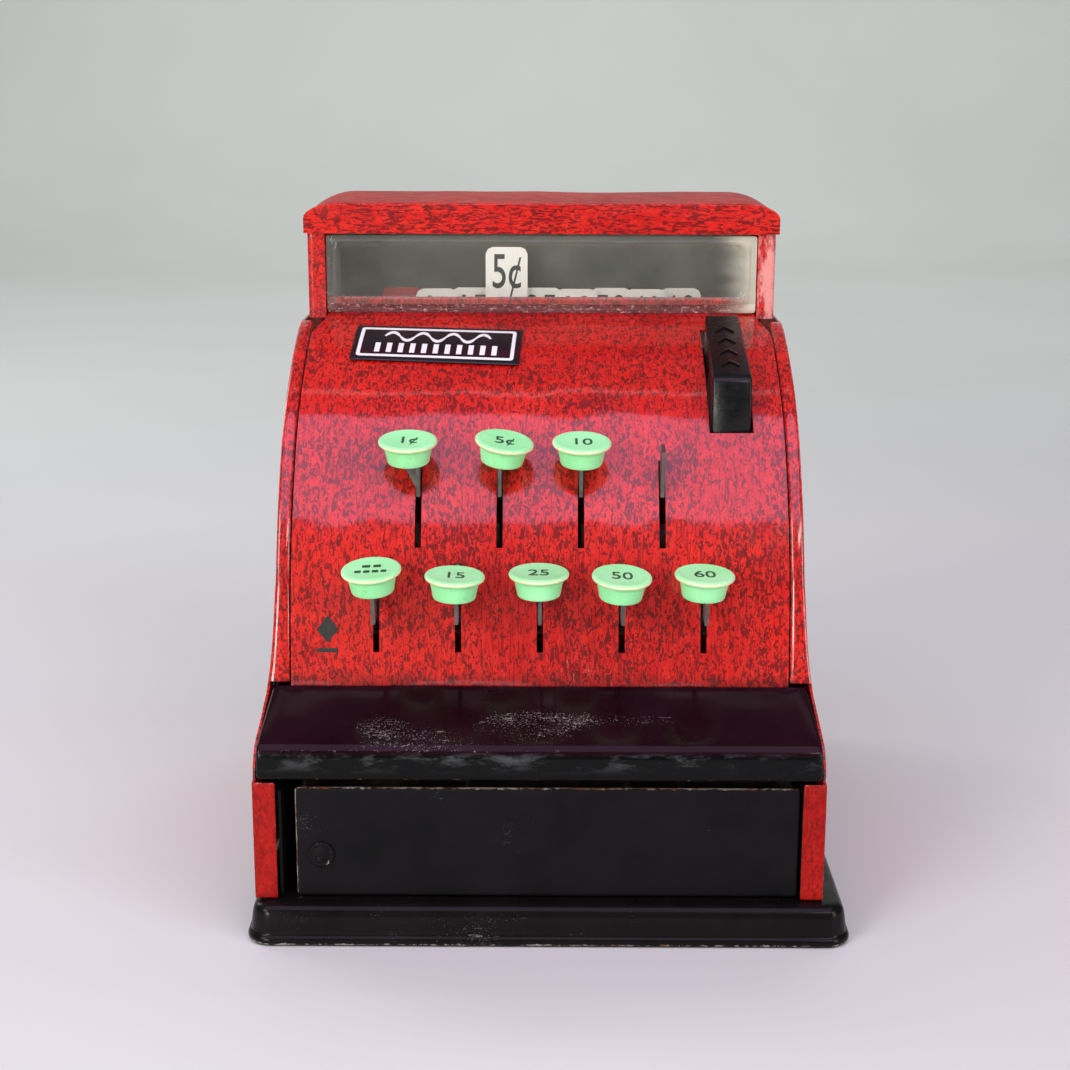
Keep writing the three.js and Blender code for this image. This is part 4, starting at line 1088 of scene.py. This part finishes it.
CAP_PROFILE = [(0, 1.2), (4.6, 1.2), (4.75, 0.9), (4.8, 0.2), (5.0, 0.0), (5.35, 0.0), (5.62, 0.12), (5.75, 0.4), (5.95, 1.5), (6.2, 2.8), (6.45, 3.9), (6.7, 4.6), (7.1, 5.0),
               (7.6, 5.2), (7.88, 5.38), (8.0, 5.7), (7.97, 6.05), (7.8, 6.35), (7.5, 6.52), (7.1, 6.58), (6.6, 6.5), (5.8, 6.38), (4.6, 6.3), (3.0, 6.24), (1.5, 6.21), (0, 6.2)]
LABEL = {"1c": "1¢", "5c": "5¢", "10": "10", "15": "15", "25": "25", "50": "50", "60": "60"}
for k, up, kx, tilt in KEYS:
    if k == "40":
        continue
    row = UPPER if up else LOWER
    lean = math.radians(LEAN[k])
    u = (-math.sin(lean), math.cos(lean))
    bottom = (row["top"][0] - 6.5 * u[0], row["top"][1] - 6.5 * u[1])
    M4 = Matrix.Translation(W(kx + NUDGE[k][0], bottom[0], bottom[1] + NUDGE[k][1])) @ Matrix.Rotation(lean, 4, "X") @ Matrix.Rotation(math.radians(tilt), 4, "Y")
    cap = lathe("key_cap_%s_skin" % k, CAP_PROFILE, 72)
    at_ = cap.data.attributes.new("wear_and_highlight", "FLOAT", "POINT")
    for i, v in enumerate(cap.data.vertices):
        rr = math.hypot(v.co.x, v.co.y) / MM
        at_.data[i].value = 0.62 if rr > 7.82 else 0.40 if rr > 7.4 else 0.5 if v.co.z < 0.2 * MM and rr > 5 else 0.0
    xform(cap, M4)
    piece(cap, MINT, "key_" + k, ["key_cap_" + k], 50)
    if k == "no_sale":
        num = bar_mesh("mark_key_" + k, [(-2.5, -0.4, 1.2, 2.6), (0.5, 2.5, 1.2, 2.6), (-4.3, -2.6, -2.2, -0.8), (-1.9, -0.3, -2.2, -0.8), (0.4, 2.0, -2.2, -0.8), (2.7, 4.2, -2.2, -0.8)])
    else:
        num = text_mesh("numeral_key_" + k, LABEL[k], 6.6, 0.06, 0.02, 0.92)
        xform(num, Matrix.Translation((0, -0.1 * MM, 0)))
    xform(num, M4 @ Matrix.Translation((0, 0, 6.26 * MM)))
    piece(num, INK_GREEN, "key_" + k, (), 20)

# ------------------------------------------------------------------ tag numerals
TAG_TXT = {"no_sale": None, "1c": "1¢", "15": "15", "5c": "5¢", "25": "25", "10": "10", "50": "50", "40": "40", "60": "60"}
for k, up, kx, tilt in KEYS:
    lo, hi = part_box("tag_" + k)
    x = (lo.x + hi.x) / 2
    zt = hi.z
    y = lo.y
    if TAG_TXT[k] is None:
        num = bar_mesh("mark_tag_" + k, [(-3.4, 3.4, -0.9, 0.9)], 0.05)
    else:
        num = text_mesh("numeral_tag_" + k, TAG_TXT[k], 15.4, 0.04, 0.10, 0.68)
    xform(num, Matrix.Translation((x, y, zt - 8.2 * MM)) @ Matrix.Rotation(PI / 2, 4, "X"))
    piece(num, INK if k != "no_sale" else INK_WHITE, "tag_" + k, (), 20)


# ------------------------------------------------------------------ nameplate: black plate, white border and a plain ornament
def build_plate():
    SF = arclen(FINE)
    nn = normals2(FINE)
    s_mid = SF[11 * 8] + 35.2
    wid, L = 49.0, 19.5
    ca, sa = math.cos(math.radians(3.2)), math.sin(math.radians(3.2))

    def at(u, v, h):
        """u across in mm from the left edge, v up the slope in mm, h above the plate's back"""
        du, dv = u - wid / 2, v - L / 2
        x, s = -30.3 + du * ca + dv * sa, s_mid + dv * ca - du * sa
        for i in range(len(SF) - 1):
            if s <= SF[i + 1] + 1e-9:
                t = (s - SF[i]) / (SF[i + 1] - SF[i])
                y = FINE[i][0] + t * (FINE[i + 1][0] - FINE[i][0])
                z = FINE[i][1] + t * (FINE[i + 1][1] - FINE[i][1])
                m_ = (nn[i][0] + t * (nn[i + 1][0] - nn[i][0]), nn[i][1] + t * (nn[i + 1][1] - nn[i][1]))
                return W(x, y + m_[0] * (h + 0.35), z + m_[1] * (h + 0.35))
        return W(x, *FINE[-1])
    rings = []
    for ins, h in ((0.4, 0.02), (0.0, 0.12), (0.0, 0.30), (0.35, 0.48), (1.2, 0.5)):
        rings.append([at(p[0], p[1], h) for p in rrect(ins, wid - ins, ins, L - ins, 1.0, 4, 10)])
    plate = loft("nameplate_skin", rings)
    paint_wear_and_painted_light(plate, lambda x, y, z: 0.2)
    piece(plate, PLATE, "case", ["nameplate"], 40)

    # border line as a flat ring
    outer = rrect(1.7, wid - 1.7, 1.7, L - 1.7, 1.0, 4, 12)
    inner = rrect(2.75, wid - 2.75, 2.75, L - 2.75, 0.5, 4, 12)
    n = len(outer)
    verts = [at(p[0], p[1], 0.50) for p in outer] + [at(p[0], p[1], 0.50) for p in inner] + [at(p[0], p[1], 0.57) for p in outer] + [at(p[0], p[1], 0.57) for p in inner]
    faces = []
    for i in range(n):
        j = (i + 1) % n
        faces += [(2 * n + i, 2 * n + j, 3 * n + j, 3 * n + i), (i, j, 2 * n + j, 2 * n + i), (n + j, n + i, 3 * n + i, 3 * n + j)]
    ring = fix_normals(new_obj("nameplate_border", verts, faces))
    obs = [ring]

    # ornament: a wavy ribbon above a row of upright dashes
    def ribbon(name, pts, width):
        nn_ = normals2(pts)
        top = [(p[0] + q[0] * width(t / (len(pts) - 1)) / 2, p[1] + q[1] * width(t / (len(pts) - 1)) / 2) for t, (p, q) in enumerate(zip(pts, nn_))]
        bot = [(p[0] - q[0] * width(t / (len(pts) - 1)) / 2, p[1] - q[1] * width(t / (len(pts) - 1)) / 2) for t, (p, q) in enumerate(zip(pts, nn_))]
        m_ = len(pts)
        v = [at(*p, 0.50) for p in top] + [at(*p, 0.50) for p in bot] + [at(*p, 0.57) for p in top] + [at(*p, 0.57) for p in bot]
        f = []
        for i in range(m_ - 1):
            f += [(2 * m_ + i, 2 * m_ + i + 1, 3 * m_ + i + 1, 3 * m_ + i), (i, i + 1, 2 * m_ + i + 1, 2 * m_ + i), (m_ + i + 1, m_ + i, 3 * m_ + i, 3 * m_ + i + 1)]
        return fix_normals(new_obj(name, v, f))
    c = wid / 2
    pts = [(9 + (wid - 18) * i / 80, L * 0.66 + 2.3 * math.sin(2 * PI * 3.5 * i / 80)) for i in range(81)]
    obs.append(ribbon("orn_wave", pts, lambda t: 0.5 + 0.9 * abs(math.sin(PI * 7 * t))))
    for i in range(11):
        x = 7.5 + (wid - 15) * i / 10
        obs.append(ribbon("orn_dash%d" % i, [(x, L * 0.20 + 5.0 * t / 4) for t in range(5)], lambda t: 1.5))
    orn = join("nameplate_ornament", *obs)
    piece(orn, INK_WHITE, "case", (), 30)


build_plate()


def build_mark():
    SF = arclen(FINE)
    nn = normals2(FINE)

    def at(x, s):
        for i in range(len(SF) - 1):
            if s <= SF[i + 1]:
                t = (s - SF[i]) / (SF[i + 1] - SF[i])
                y = FINE[i][0] + t * (FINE[i + 1][0] - FINE[i][0])
                z = FINE[i][1] + t * (FINE[i + 1][1] - FINE[i][1])
                return y, z, nn[i]
    def poly(name, pts):
        v = []
        for h in (-0.25, 0.14):
            for x, s in pts:
                y, z, n = at(x, s)
                v.append(W(x, y + n[0] * h, z + n[1] * h))
        k = len(pts)
        f = [tuple(range(k, 2 * k)), tuple(range(k))[::-1]] + [(i, (i + 1) % k, k + (i + 1) % k, k + i) for i in range(k)]
        return fix_normals(new_obj(name, v, f))
    a = poly("mark_lozenge", [(-57.6, 11.2), (-54.6, 14.8), (-57.6, 18.6), (-60.6, 14.8)])
    b = poly("mark_bar", [(-60.4, 8.6), (-54.8, 8.6), (-54.8, 9.7), (-60.4, 9.7)])
    piece(join("printed_mark", a, b), INK, "case", (), 20)


build_mark()


# ------------------------------------------------------------------ push button with plain chevrons
def build_push():
    outline = [(55.6, 121.5), (55.6, 140.2), (56.0, 141.0), (57.0, 141.75), (58.4, 142.3), (91.2, 153.85), (92.6, 154.0), (93.6, 153.5), (94.2, 152.4), (94.4, 141.5), (72.0, 132.0)]
    verts, faces = [], []
    n = len(outline)
    for s in (-1, 1):
        for y, z in outline:
            hw = interp([(50, 5.5), (57, 5.5), (97, 4.7)], y)
            verts.append(W(PUSH_X + s * hw, y, z))
    faces.append(tuple(range(n)))
    faces.append(tuple(range(n, 2 * n))[::-1])
    for i in range(n):
        j = (i + 1) % n
        faces.append((i, j, n + j, n + i))
    ob = fix_normals(new_obj("push_body", verts, faces))
    bevel(ob, 0.9, 4, 28)
    apply(ob)
    # chevrons on the sloping top
    a, b = Vector((58.4, 142.3)), Vector((91.2, 153.85))
    d = (b - a).normalized()
    nrm = Vector((-d.y, d.x))
    L = (b - a).length
    parts = [ob]
    for q in range(4):
        s0 = L * (0.16 + 0.2 * q)
        pts = [(-2.6, -1.6), (0, 1.2), (2.6, -1.6), (2.6, -0.3), (0, 2.5), (-2.6, -0.3)]
        v, f = [], []
        for h, k in ((-0.3, 1.0), (0.22, 1.0), (0.34, 0.86)):
            for px, ps in pts:
                cx, cs = 0, 0.45
                x_, s_ = cx + (px - cx) * k, cs + (ps - cs) * (k if h > 0.3 else 1)
                p = a + d * (s0 + s_) + nrm * h
                v.append(W(PUSH_X + x_, p.x, p.y))
        m_ = len(pts)
        for r in range(2):
            for i in range(m_):
                j = (i + 1) % m_
                f.append((r * m_ + i, r * m_ + j, (r + 1) * m_ + j, (r + 1) * m_ + i))
        f.append((2 * m_ + 0, 2 * m_ + 1, 2 * m_ + 4, 2 * m_ + 5))
        f.append((2 * m_ + 1, 2 * m_ + 2, 2 * m_ + 3, 2 * m_ + 4))
        f.append((0, 5, 4, 1))
        f.append((1, 4, 3, 2))
        c = fix_normals(new_obj("chev%d" % q, v, f))
        parts.append(c)
    ob = join("push_button_skin", *parts)
    return piece(ob, PUSH, "push", ["push_button"], 40)


build_push()


# ------------------------------------------------------------------ drawer front and its boss
def build_drawer_front():
    lo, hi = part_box("drawer_front")
    x0, x1, z0, z1 = lo.x / MM, hi.x / MM, lo.z / MM, hi.z / MM
    yf, yb = lo.y / MM, hi.y / MM
    rings = []
    for ins, y in ((0.3, yb), (0.0, yb - 0.2), (0.0, yf + 0.42), (0.12, yf + 0.18), (0.4, yf + 0.04), (0.9, yf)):
        rings.append([Vector((a * MM, (y) * MM, b * MM)) for a, b in rrect(x0 + ins, x1 - ins, z0 + ins, z1 - ins, 0.9, 4, 10)])
    ob = loft("drawer_plate", rings, True, False)
    # bowed, slightly dented face as a grid
    nx, nz = 60, 16
    rows, ins = [], 0.9
    for j in range(nz + 1):
        r = []
        for i in range(nx + 1):
            a = x0 + ins + (x1 - x0 - 2 * ins) * i / nx
            b = z0 + ins + (z1 - z0 - 2 * ins) * j / nz
            e = min(1, i / 5, (nx - i) / 5, j / 3, (nz - j) / 3)
            r.append(Vector((a * MM, (yf + 0.25 * abs(dent(a, b, 0, 0.03, 1.0, 6.0)) * e) * MM, b * MM)))
        rows.append(r)
    face = grid("drawer_face", rows)
    if sum(p.normal.y for p in face.data.polygons) > 0:
        face.data.flip_normals()
    ob = join("drawer_front_skin", ob, face)
    bm = bmesh.new(); bm.from_mesh(ob.data)
    bmesh.ops.remove_doubles(bm, verts=bm.verts, dist=0.01 * MM)
    bm.to_mesh(ob.data); bm.free()

    def wear_and_highlight(x, y, z):
        return 0.42 * max(0, 1 - abs(z - 39.2) / 0.9)
    # painted highlight along the top edge; wear along the left edge
    paint_wear_and_painted_light(ob, lambda x, y, z: max(0.68 * max(0, 1 - abs(z + ZS - z1) / 0.8), 0.92 * max(0, 1 - abs(x + XS - x0) / 0.8)))
    piece(ob, BLACK_DRAWER, "drawer", ["drawer_front"], 40)
    lo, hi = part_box("drawer_rivet")
    c = (lo + hi) / 2
    rv = lathe("drawer_rivet_skin", [(0, -0.1), (3.5, -0.1), (3.5, 0.1), (3.42, 0.32), (3.2, 0.46), (2.95, 0.5), (2.7, 0.42), (2.45, 0.36), (2.2, 0.42), (1.6, 0.62), (0.8, 0.74), (0, 0.78)], 48)
    xform(rv, Matrix.Translation((c.x, hi.y, c.z)) @ Matrix.Rotation(PI / 2, 4, "X"))
    paint_wear_and_painted_light(rv, lambda x, y, z: 0.50)
    piece(rv, BLACK_DRAWER, "drawer", ["drawer_rivet"], 40)


build_drawer_front()

# ------------------------------------------------------------------ CAD nodes that stay: fine edges and their own finish
KEEP = {
    "head_case": (RED_CAD, 0.3), "back_panel": (RED_CAD, 0.15), "tag_backdrop": (GREY, 0.1), "tag_guide": (TIN, 0.08), "key_shaft": (STEEL, 0.2),
    "lever_comb": (TIN, 0.08), "push_arm": (STEEL, 0.12), "push_pin": (STEEL, 0.15), "latch_pin": (STEEL, 0.15), "drawer_latch": (STEEL, 0.12),
    "drawer_kick_spring": (STEEL, 0.08), "bell_gong": (BRASS, 0.06), "bell_post": (STEEL, 0.15), "bell_hammer": (BRASS, 0.1), "hammer_pin": (STEEL, 0.15),
    "tag_catch_bar": (TIN, 0.08), "drawer_tray": (TIN, 0.15), "drawer_divider_cross": (TIN, 0.1), "drawer_divider_left": (TIN, 0.1),
    "drawer_divider_right": (TIN, 0.1), "drawer_rail_left": (BLACK_RAIL, 0.1), "drawer_rail_right": (BLACK_RAIL, 0.1)}
for k, up, kx, tilt in KEYS:
    KEEP["key_lever_" + k] = (STEEL, 0.12)
    KEEP["tag_" + k] = (TAG_RED if k == "no_sale" else TAG, 0.06)
for name, (m, w) in KEEP.items():
    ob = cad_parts[name]
    ob.data.materials.clear()
    ob.data.materials.append(m)
    for p in ob.data.polygons:
        p.use_smooth = True
    if w:
        bevel(ob, w, 2, 32)

# ------------------------------------------------------------------ floor, lights, camera
def build_stage():
    pts = []
    prof = [(-3.0, 0.0), (1.6, 0.0)] + [(1.6 + 0.8 * math.sin(a), 0.8 - 0.8 * math.cos(a)) for a in [PI / 2 * i / 16 for i in range(1, 17)]] + [(2.4, 3.0)]
    rows = [[Vector((x, y, z)) for x in (-4, -2, 0, 2, 4)] for y, z in prof]
    fl = grid("floor", rows)
    for p in fl.data.polygons:
        p.use_smooth = True
    M = Mat("floor_pale")
    n = M.noise(M.mapping(M.coords("Object"), scale=(3, 3, 3)), 1.0, 3, 0.5)
    M.set(Base_Color=M.ramp(n, [(0.3, srgb(204, 208, 204)), (0.7, srgb(210, 213, 210))]))
    M.bsdf.inputs["Roughness"].default_value = 0.7
    M.bsdf.inputs["Specular IOR Level"].default_value = 0.2
    mat(fl, M.m)


build_stage()


def area(name, loc, target, size, power, color=(1, 1, 1), size_y=None):
    li = bpy.data.lights.new(name, "AREA")
    li.energy = power
    li.color = color
    li.size = size
    if size_y:
        li.shape = "RECTANGLE"
        li.size_y = size_y
    ob = bpy.data.objects.new(name, li)
    scene.collection.objects.link(ob)
    ob.location = loc
    d = Vector(target) - Vector(loc)
    ob.rotation_euler = d.to_track_quat("-Z", "Y").to_euler()
    return ob


area("sky_card", (0.0, -0.56, 1.02), (0.0, -0.56, 0), 1.5, 9.8, (0.84, 0.64, 1.0), 1.04)
area("left_key", (-0.95, -0.95, 0.75), (0, -0.02, 0.1), 0.55, 6.5, (1.0, 1.0, 0.90), 0.55)
area("low_front", (-0.66, -1.2, 0.26), (0, 0, 0.13), 0.36, 6.5, (1.0, 0.99, 0.90), 0.36)
area("right_card", (1.0, -0.75, 0.42), (0, 0, 0.12), 0.35, 4.5, (1.0, 0.99, 0.95), 0.8)
area("low_streak", (0.54, -0.98, 0.86), (0.05, -0.05, 0.11), 0.55, 2.6, (1.0, 0.84, 0.76), 0.11)
area("backdrop_light", (0.0, 1.15, 1.9), (0, 2.2, 0.35), 2.2, 26, (1, 1, 1), 0.8).visible_glossy = False
area("thin_line", (0.0, 0.20, 1.02), (0.0, 0.20, 0), 1.3, 0.15, (1.0, 0.88, 0.92), 0.022)
area("tag_light", W(0, 112.5, 174.5), W(0, 142, 164), 0.118, 0.016, (1.0, 1.0, 0.97), 0.005)
area("rim_left", (-0.9, 0.55, 0.65), (0, 0.02, 0.12), 0.4, 3, (1, 1, 1), 0.6)

world = bpy.data.worlds.new("studio")
scene.world = world
world.use_nodes = True
bg = world.node_tree.nodes["Background"]
bg.inputs[0].default_value = (0.80, 0.86, 0.90, 1)
bg.inputs[1].default_value = 0.16

cam_data = bpy.data.cameras.new("camera")
cam = bpy.data.objects.new("camera", cam_data)
scene.collection.objects.link(cam)
scene.camera = cam
F_PX = 1900.0
cam_data.sensor_width = 36.0
cam_data.lens = F_PX / 1070 * 36
cam_data.clip_start = 0.02
cam_data.clip_end = 20
CAM = (0.69 + XS, -552.28, 226.2 + ZS)
YAW, PIT, ROLL = -0.0042, 0.2443, 0.0026
fwd = Vector((math.sin(YAW) * math.cos(PIT), math.cos(YAW) * math.cos(PIT), -math.sin(PIT)))
right = Vector((math.cos(YAW), -math.sin(YAW), 0))
up = right.cross(fwd)
r2 = right * math.cos(ROLL) + up * math.sin(ROLL)
u2 = -right * math.sin(ROLL) + up * math.cos(ROLL)
m = Matrix((r2, u2, -fwd)).transposed().to_4x4()
m.translation = Vector(CAM) * MM
cam.matrix_world = m

scene.view_settings.view_transform = "Standard"
